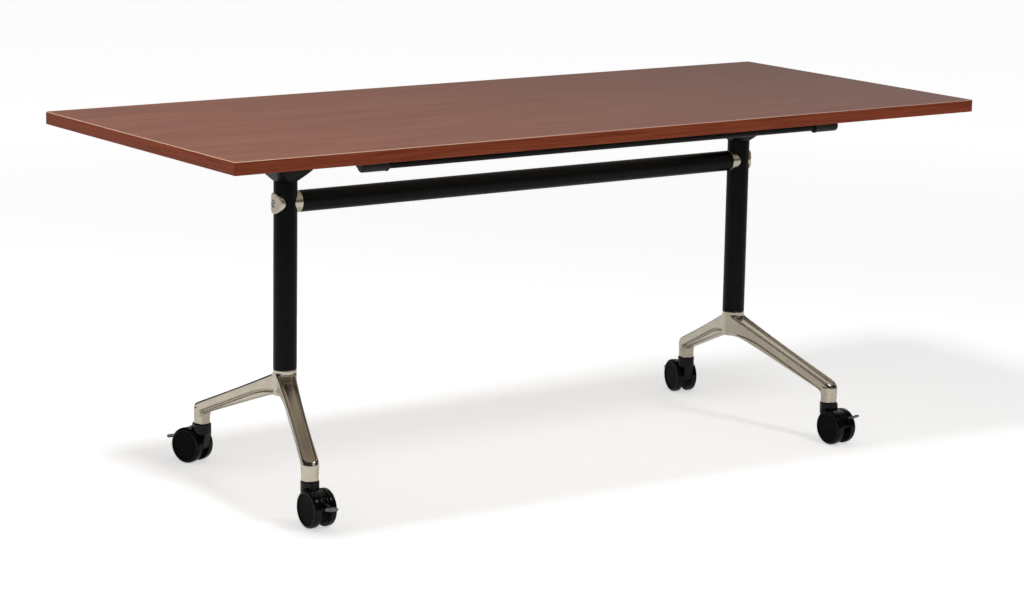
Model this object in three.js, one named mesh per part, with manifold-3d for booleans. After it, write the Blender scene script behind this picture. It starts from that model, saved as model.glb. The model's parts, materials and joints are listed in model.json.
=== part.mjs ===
// Flip top training table: a laminate top that tips up on two columns joined by a crossbar, with cast
// feet on braked twin-wheel casters and a spring-loaded release bar under the front edge.
// Millimetres, +Z up, X along the top, -Y towards the user. The origin is on the floor under the centre.

import * as THREE from 'three';
import { mergeVertices } from 'three/addons/utils/BufferGeometryUtils.js';
import Module from 'manifold-3d';

const wasm = await Module();
wasm.setup();

// Fits shared by all pieces
const FIT = 0.3; // clearance between seated or turning pieces
const ROUND_SIDES = 32; // sides of a large round
const SMALL_SIDES = 12; // sides of a pin or bore
const CURVE_STEPS = 4; // straight steps in one curve of an outline, twice as many in an arc
const OVERSHOOT = 1; // how far a cutting tool passes the face it cuts
const SAME_POINT = 1e-4; // corners nearer than this are one corner

// Top
const TOP_LENGTH = 1829;
const TOP_DEPTH = 762;
const TOP_THICKNESS = 25.4;
const TABLE_HEIGHT = 744.5;
const TOP_CORNER_RADIUS = 5;
const EDGE_BAND = 2;
const GLUE_LINE = 0.2;

// Columns and crossbar
const COLUMN_SPACING = 1158;
const COLUMN_DIAMETER = 48;
const COLUMN_WALL = 2;
const CROSSBAR_DROP = 43.3; // crossbar axis below the underside of the flip heads
const CROSSBAR_DIAMETER = 44;
const CROSSBAR_WALL = 2;
const SADDLE_WALL = 5; // saddle thickness at its thinnest, on the crossbar side
const CAP_DIAMETER = 43;
const CAP_WALL = 4.4; // outer cap: a plate curved round the column
const CAP_SEAT_WALL = 1.2; // plate left under the tie bolt's head
const PLUG_LENGTH = 40;
const TIE_BOLT_DIAMETER = 10;
const TIE_BOLT_BITE = 30; // thread length inside the plug
const TIE_BOLT_HEAD_DIAMETER = 15;
const TIE_BOLT_HEAD_HEIGHT = 2.6;
const TIE_BOLT_HEAD_BEVEL = 1.3;
const HEX_SOCKET_WIDTH = 5;
const HEX_SOCKET_DEPTH = 3;

// Flip heads and their brackets
const HEAD_WIDTH = 82;
const HEAD_DEPTH = 88;
const HEAD_HEIGHT = 85;
const HEAD_SQUARENESS = 10; // superellipse exponent of the head's plan
const FLARE_HEIGHT = 24;
const HEAD_SPIGOT = 28;
const PIVOT_DROP = 22.6; // pivot axis below the underside of the top
const PIVOT_DIAMETER = 12;
const PIVOT_HEAD_DIAMETER = 18;
const PIVOT_HEAD_THICKNESS = 3;
const BRACKET_PLATE = 3;
const BRACKET_FRONT = 168; // plate reach in front of the column axis
const BRACKET_REAR = 60;
const BRACKET_FLANGE = 7; // plate width outside each ear
const EAR_THICKNESS = 3;
const EAR_RADIUS = 14;
const EAR_FRONT = 36; // where the ear's front edge meets the plate, in front of the pivot
const LUG_THICKNESS = 4;
const LUG_WIDTH = 28;
const LUG_WALL = 5; // material under the latch bore

// Release bar and latches
const RELEASE_SETBACK = 81; // bar axis behind the front edge
const RELEASE_DROP = 18.1; // bar axis below the underside of the top
const RELEASE_BAR_DIAMETER = 16;
const RELEASE_BAR_WALL = 2;
const GRIP_DIAMETER = 23;
const GRIP_LENGTH = 62;
const GRIP_OVERHANG = 17; // grip end outside the column axis
const GRIP_END_WALL = 6;
const GRIP_END_ROUND = 6;
const GRIP_FLANGE_HEIGHT = 1;
const GRIP_FLANGE_LENGTH = 4;
const GRIP_BOSS_DIAMETER = 16;
const GRIP_BOSS_LENGTH = 28; // from the bar axis back along the latch rod
const ROD_DIAMETER = 8;
const NOSE_DIAMETER = 12;
const NOSE_BITE = 8; // latch nose inside the head
const NOSE_SWEEP = 6; // room behind the nose, which swings back as the top tips up
const NOSE_GUIDE_GAP = 32; // rear lug in front of the head
const SPRING_SPACE = 27; // between the front lug and the flange of the latch bolt
const SPRING_FRONT = 96; // front lug in front of the head
const FLANGE_DIAMETER = 17;
const FLANGE_LENGTH = 3;
const SPRING_WIRE = 1.6;
const SPRING_DIAMETER = 12; // at the middle of the wire
const SPRING_TURNS = 6;
const SPRING_STEPS = 8; // straight steps in one turn
const SPRING_SIDES = 5;

// Feet
const HUB_TOP = 249.5;
const HUB_DEPTH = 54;
const FOOT_SPIGOT = 42;
const COLLAR_HEIGHT = 13; // hub standing above the arms
const SOCKET_REACH = 262; // socket axis in front of or behind the column axis
const SOCKET_SPLAY = 68; // socket axis outside the column axis
const SOCKET_DIAMETER = 34;
const ELBOW_HEIGHT = 46; // top line of an arm above the socket's end, at the socket axis
const ELBOW_ROUND = 14;
const ARM_HUB_WIDTH = 42;
const ARM_WAIST_WIDTH = 32;
const BEAM_DEPTH = 24.5;
const KEEL_WIDTH = 25;
const KEEL_OVER_SOCKET = 17.5; // underside of the keel above the socket's end, at the socket axis
const ARCH_REACH = 70; // length of the curve under the hub
const ARCH_CONTROL = 24;
const CHANNEL_DEPTH = 6;
const CHANNEL_HUB_WIDTH = 32;
const CHANNEL_WAIST_WIDTH = 27;
const CHANNEL_END_WIDTH = 25;
const CHANNEL_END = 11.5; // rounded end of the channel past the socket axis
const CHANNEL_INSET = 6; // flat start of the channel inside the hub's face
const CHANNEL_ROOF = 10.5; // hub left standing above that start

// Casters
const CASTER_HEIGHT = 87; // floor to the end of the socket
const CASTER_TRAIL = 26;
const WHEEL_DIAMETER = 75;
const WHEEL_WIDTH = 14.6;
const WHEEL_SIDES = 24;
const WHEEL_CHAMFER = 3.2;
const WHEEL_RECESS = 2;
const WHEEL_RIM = 6;
const WEB_WIDTH = 20;
const WEB_SETBACK = 1; // web inside the wheel's tread
const WEB_BOSS = 11; // web under the axle's centre
const WEB_FRONT_DROP = 4; // lower corner of the web under the axle's centre, in front
const WEB_REAR_RISE = 5.5; // and above it behind, under the pedal
const RUNNING_GAP = 0.4;
const NECK_DIAMETER = 37;
const NECK_HEIGHT = 23;
const NECK_CLEARANCE = 1.2; // round the wheels
const SWIVEL_GAP = 0.5;
const STEM_DIAMETER = 11;
const STEM_REACH = 30; // stem inside the socket
const STEM_ROOT = 28; // stem inside the hood
const AXLE_DIAMETER = 8;
const PEDAL_PIVOT_TRAIL = 18; // pedal pivot behind the axle
const PEDAL_PIVOT_RISE = 18.5; // pedal pivot above the axle
const PADDLE_WIDTH = 30;
const PADDLE_INNER = 28; // from the pedal pivot
const PADDLE_OUTER = 48;
const PADDLE_TIP_LIFT = 5; // underside of the tip above the underside at the root
const PADDLE_TIP_THICKNESS = 3;
const PEDAL_SWING = 34; // degrees from released to braked
const TONGUE_WIDTH = 7.2;
const TONGUE_THICKNESS = 6;
const TONGUE_HEEL = 4; // tongue behind its pivot
const TONGUE_PIN_DIAMETER = 4;
const TONGUE_PIN_LENGTH = 13;
const SLOT_ROOM = 1.5; // round the tongue at the ends of its swing

// Settings as photographed, in degrees: how far each foot is turned on its column, anticlockwise from
// above, and where each caster trails, with 0 towards the user. A pedal is braked or released.
const FOOT_TURN = { left: -6, right: -2 };
const SWIVEL_ANGLES = { front_left: 0, front_right: 2, rear_left: 200, rear_right: 169 };
const BRAKED = { front_left: true, front_right: false, rear_left: true, rear_right: true };

// Derived places
const underside = TABLE_HEIGHT - TOP_THICKNESS;
const columnX = COLUMN_SPACING / 2;
const columnRadius = COLUMN_DIAMETER / 2;
const columnBore = columnRadius - COLUMN_WALL;
const crossbarRadius = CROSSBAR_DIAMETER / 2;
const saddleReach = columnRadius + FIT + SADDLE_WALL;
const capReach = columnRadius + FIT + CAP_WALL;
const capSeat = columnRadius + FIT + CAP_SEAT_WALL;
const tieBoltBore = TIE_BOLT_DIAMETER / 2 + FIT;
const headTop = underside - BRACKET_PLATE - FIT;
const headBase = headTop - HEAD_HEIGHT;
const crossbarZ = headBase - CROSSBAR_DROP;
const headFront = -HEAD_DEPTH / 2;
const pivotZ = underside - PIVOT_DROP;
const pivotRound = headTop - pivotZ; // the head's rear corner is an arc about the pivot
const pivotY = HEAD_DEPTH / 2 - pivotRound;
const pivotBore = PIVOT_DIAMETER / 2 + FIT;
const earInner = HEAD_WIDTH / 2 + FIT;
const earOuter = earInner + EAR_THICKNESS;
const bracketHalf = earOuter + BRACKET_FLANGE;
const releaseY = -TOP_DEPTH / 2 + RELEASE_SETBACK;
const releaseZ = underside - RELEASE_DROP;
const barRadius = RELEASE_BAR_DIAMETER / 2;
const gripOuter = columnX + GRIP_OVERHANG;
const barHalf = gripOuter - GRIP_END_WALL - FIT;
const noseTip = headFront + NOSE_BITE;
const rearLugY = headFront - NOSE_GUIDE_GAP;
const frontLugY = headFront - SPRING_FRONT;
const flangeFront = frontLugY + SPRING_SPACE;
const rodFront = releaseY + barRadius + FIT;
const hubBottom = HUB_TOP - HUB_DEPTH;
const armLength = Math.hypot(SOCKET_REACH, SOCKET_SPLAY);
const socketRadius = SOCKET_DIAMETER / 2;
const armTopAtHub = HUB_TOP - COLLAR_HEIGHT;
const armTopAtSocket = CASTER_HEIGHT + ELBOW_HEIGHT;
const wheelRadius = WHEEL_DIAMETER / 2;
const wheelCorner = wheelRadius / Math.cos(Math.PI / WHEEL_SIDES); // a flat of the tread is on the floor
const wheelInner = WEB_WIDTH / 2 + RUNNING_GAP;
const wheelOuter = wheelInner + WHEEL_WIDTH;
const neckTop = CASTER_HEIGHT - SWIVEL_GAP;
const stemFoot = CASTER_HEIGHT - STEM_ROOT;
const pedalPivotX = CASTER_TRAIL + PEDAL_PIVOT_TRAIL;
const pedalPivotZ = wheelRadius + PEDAL_PIVOT_RISE;
const pedalTilt = THREE.MathUtils.degToRad(PEDAL_SWING / 2); // either side of level

// Finishes
const FINISH = {
  laminate: { color: 0x87645c, roughness: 0.35, metalness: 0 },
  edge: { color: 0x7f3a26, roughness: 0.45, metalness: 0 },
  powderCoat: { color: 0x161616, roughness: 0.5, metalness: 0.1 },
  nickel: { color: 0xb6ad9a, roughness: 0.3, metalness: 0.9 },
  zincSteel: { color: 0xa6a8a6, roughness: 0.4, metalness: 0.9 },
  nylon: { color: 0x121212, roughness: 0.4, metalness: 0 },
  moulding: { color: 0x232323, roughness: 0.55, metalness: 0 },
};

// Closed, outward facing geometry with shared vertices and no flat triangles
function closed(geometry) {
  const bare = geometry.index ? geometry.toNonIndexed() : geometry.clone();
  for (const name of Object.keys(bare.attributes)) {
    if (name !== 'position') bare.deleteAttribute(name);
  }
  const merged = mergeVertices(bare, SAME_POINT);
  const position = merged.attributes.position;
  const triangles = [];
  let volume = 0;
  const [a, b, c] = [new THREE.Vector3(), new THREE.Vector3(), new THREE.Vector3()];
  for (let i = 0; i < merged.index.count; i += 3) {
    const corners = [0, 1, 2].map((k) => merged.index.getX(i + k));
    if (new Set(corners).size < 3) continue;
    [a, b, c].forEach((corner, k) => corner.fromBufferAttribute(position, corners[k]));
    volume += a.dot(b.clone().cross(c)) / 6;
    triangles.push(corners);
  }
  if (volume < 0) triangles.forEach((corners) => corners.reverse());
  merged.setIndex(triangles.flat());
  return merged;
}

function toManifold(geometry) {
  const body = closed(geometry);
  const vertProperties = new Float32Array(body.attributes.position.array);
  const triVerts = new Uint32Array(body.index.array);
  return new wasm.Manifold(new wasm.Mesh({ numProp: 3, vertProperties, triVerts }));
}

function fromManifold(body) {
  const { vertProperties, triVerts } = body.getMesh();
  const geometry = new THREE.BufferGeometry();
  geometry.setAttribute('position', new THREE.BufferAttribute(vertProperties, 3));
  geometry.setIndex(Array.from(triVerts));
  return geometry;
}

const join = (...parts) => fromManifold(parts.map(toManifold).reduce((a, b) => a.add(b)));
const common = (a, b) => fromManifold(toManifold(a).intersect(toManifold(b)));
function cut(part, ...tools) {
  return fromManifold(tools.map(toManifold).reduce((a, b) => a.subtract(b), toManifold(part)));
}

// Rods along each axis, between two places on that axis
function rodZ(radius, low, high, sides = SMALL_SIDES) {
  const rod = new THREE.CylinderGeometry(radius, radius, high - low, sides).rotateX(Math.PI / 2);
  return rod.translate(0, 0, (low + high) / 2);
}
function rodX(radius, low, high, sides = SMALL_SIDES) {
  const rod = new THREE.CylinderGeometry(radius, radius, high - low, sides).rotateZ(Math.PI / 2);
  return rod.translate((low + high) / 2, 0, 0);
}
function rodY(radius, low, high, sides = SMALL_SIDES) {
  return new THREE.CylinderGeometry(radius, radius, high - low, sides).translate(0, (low + high) / 2, 0);
}

function box(low, high) {
  const size = high.map((value, k) => value - low[k]);
  const middle = high.map((value, k) => (value + low[k]) / 2);
  return new THREE.BoxGeometry(...size).translate(...middle);
}

// A turned piece about the Y axis from [radius, place] pairs, first and last on the axis or a closed loop
function turned(pairs, sides = SMALL_SIDES, start = 0) {
  return new THREE.LatheGeometry(pairs.map(([r, y]) => new THREE.Vector2(r, y)), sides, start);
}

// A tube about the Y axis
function tube(outer, inner, low, high, sides = ROUND_SIDES) {
  return turned([[inner, low], [outer, low], [outer, high], [inner, high], [inner, low]], sides);
}

// An outline in the plan, carried from one height to another
function planPrism(shape, low, high) {
  const options = { depth: high - low, bevelEnabled: false, curveSegments: CURVE_STEPS };
  return new THREE.ExtrudeGeometry(shape, options).translate(0, 0, low);
}

// A side outline of (forward, height) points, carried across a width centred on Y = 0
function sidePrism(shape, width) {
  const options = { depth: width, bevelEnabled: false, curveSegments: CURVE_STEPS };
  return new THREE.ExtrudeGeometry(shape, options).rotateX(Math.PI / 2).translate(0, width / 2, 0);
}

// A cross outline of (Y, Z) points, carried along X
function crossPrism(shape, low, high) {
  return sidePrism(shape, high - low).rotateZ(Math.PI / 2).translate((low + high) / 2, 0, 0);
}

// Skin through rings of equal counts, with a flat cap at each end
function loft(rings) {
  const count = rings[0].length;
  const points = rings.flat();
  const triangles = [];
  for (let row = 0; row + 1 < rings.length; row += 1) {
    for (let k = 0; k < count; k += 1) {
      const [a, b] = [row * count + k, row * count + ((k + 1) % count)];
      triangles.push(a, b, b + count, a, b + count, a + count);
    }
  }
  const last = points.length - count;
  for (let k = 1; k + 1 < count; k += 1) {
    triangles.push(0, k + 1, k, last, last + k, last + k + 1);
  }
  const geometry = new THREE.BufferGeometry().setFromPoints(points);
  return geometry.setIndex(triangles);
}

// Superellipse ring at one height: exponent 2 is a plain round
function superRing(halfX, halfY, exponent, z) {
  const bend = (value) => Math.sign(value) * Math.abs(value) ** (2 / exponent);
  return Array.from({ length: ROUND_SIDES }, (_, k) => {
    const angle = (2 * Math.PI * (k + 0.5)) / ROUND_SIDES;
    return new THREE.Vector3(halfX * bend(Math.cos(angle)), halfY * bend(Math.sin(angle)), z);
  });
}

function roundedRectangle(length, depth, radius) {
  const shape = new THREE.Shape();
  const [x, y] = [length / 2 - radius, depth / 2 - radius];
  shape.absarc(x, y, radius, 0, Math.PI / 2);
  shape.absarc(-x, y, radius, Math.PI / 2, Math.PI);
  shape.absarc(-x, -y, radius, Math.PI, 1.5 * Math.PI);
  shape.absarc(x, -y, radius, 1.5 * Math.PI, 2 * Math.PI);
  return shape;
}

function polygon(pairs) {
  return new THREE.Shape(pairs.map(([x, y]) => new THREE.Vector2(x, y)));
}

function addPiece(group, name, geometry, finish) {
  const surface = closed(geometry).toNonIndexed();
  surface.computeVertexNormals();
  const piece = new THREE.Mesh(surface, new THREE.MeshStandardMaterial(FINISH[finish]));
  piece.name = name;
  group.add(piece);
}

// Top: the board and the band glued round its edge
function topPanel() {
  const inset = EDGE_BAND + GLUE_LINE;
  const radius = TOP_CORNER_RADIUS - inset;
  const outline = roundedRectangle(TOP_LENGTH - 2 * inset, TOP_DEPTH - 2 * inset, radius);
  return planPrism(outline, underside, TABLE_HEIGHT);
}

function edgeBand() {
  const outline = roundedRectangle(TOP_LENGTH, TOP_DEPTH, TOP_CORNER_RADIUS);
  const radius = TOP_CORNER_RADIUS - EDGE_BAND;
  outline.holes.push(roundedRectangle(TOP_LENGTH - 2 * EDGE_BAND, TOP_DEPTH - 2 * EDGE_BAND, radius));
  return planPrism(outline, underside, TABLE_HEIGHT);
}

// Column: a tube with a cross hole for the tie bolt
function column() {
  const wall = tube(columnRadius, columnBore, HUB_TOP, headBase).rotateX(Math.PI / 2);
  const hole = rodX(tieBoltBore, -COLUMN_DIAMETER, COLUMN_DIAMETER).translate(0, 0, crossbarZ);
  return cut(wall, hole);
}

function crossbar() {
  const half = columnX - saddleReach;
  const bar = tube(crossbarRadius, crossbarRadius - CROSSBAR_WALL, -half, half).rotateZ(-Math.PI / 2);
  return bar.translate(0, 0, crossbarZ);
}

// Saddles: round blocks hollowed to fit the column, inward is the sign of X towards the crossbar
function columnTool() {
  return rodZ(columnRadius + FIT, 0, TABLE_HEIGHT, ROUND_SIDES);
}

function innerSaddle(inward) {
  const block = rodX(crossbarRadius, FIT, saddleReach, ROUND_SIDES);
  const bore = rodX(tieBoltBore, -saddleReach, saddleReach + OVERSHOOT);
  const saddle = join(block).scale(inward, 1, 1).translate(0, 0, crossbarZ);
  return cut(saddle, columnTool(), bore.scale(inward, 1, 1).translate(0, 0, crossbarZ));
}

// Outer cap: a round plate curved to follow the column, with a seat for the tie bolt's head
function outerCap(inward) {
  const radius = CAP_DIAMETER / 2;
  const round = rodX(radius, FIT, capReach + OVERSHOOT, ROUND_SIDES).translate(0, 0, crossbarZ);
  const curved = rodZ(capReach, crossbarZ - CAP_DIAMETER, crossbarZ + CAP_DIAMETER, ROUND_SIDES);
  const bore = rodX(tieBoltBore, -OVERSHOOT, 2 * capReach).translate(0, 0, crossbarZ);
  const seat = rodX(TIE_BOLT_HEAD_DIAMETER / 2 + FIT, capSeat, 2 * capReach).translate(0, 0, crossbarZ);
  return cut(common(round, curved), columnTool(), bore, seat).scale(-inward, 1, 1);
}

function tieBolt(inward) {
  const headFace = -capSeat - TIE_BOLT_HEAD_HEIGHT;
  const [shank, head] = [TIE_BOLT_DIAMETER / 2, TIE_BOLT_HEAD_DIAMETER / 2];
  const end = saddleReach + TIE_BOLT_BITE;
  const profile = [[0, headFace], [head - TIE_BOLT_HEAD_BEVEL, headFace]];
  profile.push([head, headFace + TIE_BOLT_HEAD_BEVEL], [head, -capSeat]);
  profile.push([shank, -capSeat], [shank, end], [0, end]);
  const bolt = turned(profile).rotateZ(-Math.PI / 2);
  const socket = rodX(HEX_SOCKET_WIDTH / Math.sqrt(3), headFace - OVERSHOOT, headFace + HEX_SOCKET_DEPTH, 6);
  return cut(bolt, socket).scale(inward, 1, 1).translate(0, 0, crossbarZ);
}

function crossbarPlug(inward) {
  const radius = crossbarRadius - CROSSBAR_WALL - FIT;
  const plug = tube(radius, tieBoltBore, saddleReach, saddleReach + PLUG_LENGTH, SMALL_SIDES * 2);
  return plug.rotateZ(-inward * (Math.PI / 2)).translate(0, 0, crossbarZ);
}

// Flip head: a spigot in the column, a flare from round to nearly square, and a rear corner round the pivot
function flipHead() {
  const [halfX, halfY] = [HEAD_WIDTH / 2, HEAD_DEPTH / 2];
  const flareTop = headBase + FLARE_HEIGHT;
  const block = loft([
    superRing(columnRadius, columnRadius, 2, headBase),
    superRing(halfX, halfY, HEAD_SQUARENESS, flareTop),
    superRing(halfX, halfY, HEAD_SQUARENESS, headTop),
  ]);
  const side = new THREE.Shape();
  side.moveTo(headFront - OVERSHOOT, headBase - OVERSHOOT);
  side.lineTo(halfY, headBase - OVERSHOOT);
  side.lineTo(halfY, pivotZ);
  side.absarc(pivotY, pivotZ, pivotRound, 0, Math.PI / 2);
  side.lineTo(headFront - OVERSHOOT, headTop);
  const body = common(block, crossPrism(side, -HEAD_WIDTH, HEAD_WIDTH));
  const spigot = rodZ(columnBore - FIT, headBase - HEAD_SPIGOT, headBase + OVERSHOOT, ROUND_SIDES);
  const bore = rodX(pivotBore, -HEAD_WIDTH, HEAD_WIDTH).translate(0, pivotY, pivotZ);
  const slotHalf = NOSE_DIAMETER / 2 + FIT;
  const slotLow = [-slotHalf, headFront - OVERSHOOT, releaseZ - slotHalf];
  const keeper = box(slotLow, [slotHalf, noseTip + NOSE_SWEEP, headTop + OVERSHOOT]);
  return cut(join(body, spigot), bore, keeper);
}

function pivotPin(inward) {
  const [shank, head] = [PIVOT_DIAMETER / 2, PIVOT_HEAD_DIAMETER / 2];
  const shoulder = -earOuter - FIT;
  const end = earOuter + PIVOT_HEAD_THICKNESS;
  const profile = [[0, shoulder - PIVOT_HEAD_THICKNESS], [head, shoulder - PIVOT_HEAD_THICKNESS]];
  profile.push([head, shoulder], [shank, shoulder], [shank, end], [0, end]);
  return turned(profile).rotateZ(-inward * (Math.PI / 2)).translate(0, pivotY, pivotZ);
}

// Bracket: a plate under the top, two ears on the pivot pin and two lugs for the latch bolt
function topBracket() {
  const plateLow = underside - BRACKET_PLATE;
  const plate = box([-bracketHalf, -BRACKET_FRONT, plateLow], [bracketHalf, BRACKET_REAR, underside]);
  const ear = new THREE.Shape();
  ear.moveTo(pivotY - EAR_FRONT, plateLow + OVERSHOOT);
  ear.lineTo(pivotY - EAR_RADIUS, pivotZ);
  ear.absarc(pivotY, pivotZ, EAR_RADIUS, Math.PI, 2 * Math.PI);
  ear.lineTo(BRACKET_REAR, plateLow + OVERSHOOT);
  const ears = [crossPrism(ear, earInner, earOuter), crossPrism(ear, -earOuter, -earInner)];
  const lugLow = releaseZ - NOSE_DIAMETER / 2 - LUG_WALL;
  const lugs = [rearLugY, frontLugY].map((y) => box(
    [-LUG_WIDTH / 2, y - LUG_THICKNESS, lugLow],
    [LUG_WIDTH / 2, y, plateLow + OVERSHOOT],
  ));
  const pinBore = rodX(pivotBore, -bracketHalf, bracketHalf).translate(0, pivotY, pivotZ);
  const noseLow = rearLugY - LUG_THICKNESS - OVERSHOOT;
  const noseBore = rodY(NOSE_DIAMETER / 2 + FIT, noseLow, rearLugY + OVERSHOOT).translate(0, 0, releaseZ);
  const rodLow = frontLugY - LUG_THICKNESS - OVERSHOOT;
  const rodBore = rodY(ROD_DIAMETER / 2 + FIT, rodLow, frontLugY + OVERSHOOT).translate(0, 0, releaseZ);
  return cut(join(plate, ...ears, ...lugs), pinBore, noseBore, rodBore);
}

// Release: bar, grips that double as tees for the latch rods, latch bolts and springs
function releaseBar() {
  const bar = tube(barRadius, barRadius - RELEASE_BAR_WALL, -barHalf, barHalf, SMALL_SIDES * 2);
  return bar.rotateZ(-Math.PI / 2).translate(0, releaseY, releaseZ);
}

function releaseGrip(outward) {
  const radius = GRIP_DIAMETER / 2;
  const inner = gripOuter - GRIP_LENGTH;
  const flange = radius + GRIP_FLANGE_HEIGHT;
  const profile = [[0, inner], [flange, inner], [flange, inner + GRIP_FLANGE_LENGTH]];
  profile.push([radius, inner + GRIP_FLANGE_LENGTH]);
  for (let step = 0; step <= CURVE_STEPS / 2; step += 1) {
    const angle = (step * Math.PI) / CURVE_STEPS;
    const reach = gripOuter - GRIP_END_ROUND * (1 - Math.sin(angle));
    profile.push([radius - GRIP_END_ROUND * (1 - Math.cos(angle)), reach]);
  }
  profile.push([0, gripOuter]);
  const sleeve = turned(profile, SMALL_SIDES * 2).rotateZ(-Math.PI / 2);
  const boss = rodY(GRIP_BOSS_DIAMETER / 2, 0, GRIP_BOSS_LENGTH).translate(columnX, 0, 0);
  const barBore = rodX(barRadius + FIT, inner - OVERSHOOT, barHalf + FIT, SMALL_SIDES * 2);
  const rodBore = rodY(ROD_DIAMETER / 2 + FIT, 0, GRIP_BOSS_LENGTH + OVERSHOOT).translate(columnX, 0, 0);
  const grip = cut(join(sleeve, boss), barBore, rodBore);
  return grip.scale(outward, 1, 1).translate(0, releaseY, releaseZ);
}

function latchBolt() {
  const [rod, nose] = [ROD_DIAMETER / 2, NOSE_DIAMETER / 2];
  const flange = FLANGE_DIAMETER / 2;
  const profile = [[0, rodFront], [rod, rodFront], [rod, flangeFront], [flange, flangeFront]];
  profile.push([flange, flangeFront + FLANGE_LENGTH], [nose, flangeFront + FLANGE_LENGTH]);
  profile.push([nose, noseTip - FIT], [nose - FIT, noseTip], [0, noseTip]);
  return turned(profile).translate(0, 0, releaseZ);
}

// Helix about the Y axis whose first and last stretch runs straight along the axis for one wire diameter
class SpringCurve extends THREE.Curve {
  getPoint(t) {
    const length = SPRING_SPACE - 2 * FIT;
    const lead = SPRING_WIRE / length;
    const turn = THREE.MathUtils.clamp((t - lead) / (1 - 2 * lead), 0, 1);
    const angle = 2 * Math.PI * SPRING_TURNS * turn;
    const radius = SPRING_DIAMETER / 2;
    return new THREE.Vector3(radius * Math.cos(angle), length * t, radius * Math.sin(angle));
  }

  getPointAt(t) {
    return this.getPoint(t);
  }

  getTangentAt(t) {
    return this.getTangent(t);
  }
}

function springLeastGap(curve) {
  const steps = SPRING_TURNS * SPRING_STEPS;
  const points = Array.from({ length: steps + 1 }, (_, k) => curve.getPoint(k / steps));
  let least = Infinity;
  for (let i = 0; i <= steps; i += 1) {
    for (let j = i + SPRING_STEPS / 2; j <= steps; j += 1) {
      least = Math.min(least, points[i].distanceTo(points[j]) - SPRING_WIRE);
    }
  }
  return least;
}

function latchSpring() {
  const curve = new SpringCurve();
  console.log(`latch spring, least gap between turns ${springLeastGap(curve).toFixed(2)} mm`);
  const section = new THREE.Shape();
  for (let k = 0; k < SPRING_SIDES; k += 1) {
    const angle = (2 * Math.PI * k) / SPRING_SIDES;
    const place = [(SPRING_WIRE / 2) * Math.cos(angle), (SPRING_WIRE / 2) * Math.sin(angle)];
    if (k === 0) section.moveTo(...place);
    else section.lineTo(...place);
  }
  const steps = SPRING_TURNS * SPRING_STEPS;
  const wire = new THREE.ExtrudeGeometry(section, { steps, extrudePath: curve, bevelEnabled: false });
  return wire.translate(0, frontLugY + FIT, releaseZ);
}

// Foot: a hub under the column and two arms, each a beam over a keel, bent down into a caster socket
const armSlope = (armTopAtHub - armTopAtSocket) / (armLength - columnRadius);
const armTop = (reach) => armTopAtHub - armSlope * (reach - columnRadius);

function armPlan(hubWidth, waistWidth, endWidth, end) {
  const halves = [hubWidth / 2, waistWidth / 2, endWidth / 2];
  const control = 2 * halves[1] - (halves[0] + halves[2]) / 2;
  const shape = new THREE.Shape();
  shape.moveTo(0, -halves[0]);
  shape.quadraticCurveTo(end / 2, -control, end, -halves[2]);
  shape.absarc(end, 0, halves[2], -Math.PI / 2, Math.PI / 2);
  shape.quadraticCurveTo(end / 2, control, 0, halves[0]);
  return shape;
}

function armBeam() {
  const outer = armLength + socketRadius;
  const side = new THREE.Shape();
  side.moveTo(0, armTop(0));
  side.lineTo(outer - ELBOW_ROUND, armTop(outer - ELBOW_ROUND));
  side.quadraticCurveTo(outer, armTop(outer), outer, armTop(outer) - ELBOW_ROUND);
  side.lineTo(outer, CASTER_HEIGHT);
  side.lineTo(armLength, CASTER_HEIGHT);
  side.lineTo(armLength, armTop(armLength) - BEAM_DEPTH);
  side.lineTo(0, armTop(0) - BEAM_DEPTH);
  const plan = armPlan(ARM_HUB_WIDTH, ARM_WAIST_WIDTH, SOCKET_DIAMETER, armLength);
  return common(sidePrism(side, 2 * COLUMN_DIAMETER), planPrism(plan, 0, HUB_TOP));
}

function armKeel() {
  const underSocket = CASTER_HEIGHT + KEEL_OVER_SOCKET;
  const side = new THREE.Shape();
  side.moveTo(0, armTop(0) - BEAM_DEPTH / 2);
  side.lineTo(0, hubBottom);
  const slope = (hubBottom - underSocket) / (armLength - ARCH_CONTROL);
  side.quadraticCurveTo(ARCH_CONTROL, hubBottom, ARCH_REACH, hubBottom - slope * (ARCH_REACH - ARCH_CONTROL));
  side.lineTo(armLength, underSocket);
  side.lineTo(armLength, armTop(armLength) - BEAM_DEPTH / 2);
  return sidePrism(side, KEEL_WIDTH);
}

function armChannel() {
  const side = new THREE.Shape();
  const start = columnRadius - CHANNEL_INSET;
  const end = armLength + CHANNEL_END;
  const roof = HUB_TOP - CHANNEL_ROOF;
  side.moveTo(start, armTop(start) - CHANNEL_DEPTH);
  side.lineTo(end, armTop(end) - CHANNEL_DEPTH);
  side.lineTo(end, roof);
  side.lineTo(start, roof);
  const round = end - CHANNEL_END_WIDTH / 2;
  const plan = armPlan(CHANNEL_HUB_WIDTH, CHANNEL_WAIST_WIDTH, CHANNEL_END_WIDTH, round);
  return common(sidePrism(side, 2 * COLUMN_DIAMETER), planPrism(plan, 0, HUB_TOP));
}

// Direction of one arm in the plan
function socketAngle(outward, forward, turn) {
  return Math.atan2(forward * SOCKET_REACH, outward * SOCKET_SPLAY) + THREE.MathUtils.degToRad(turn);
}

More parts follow.
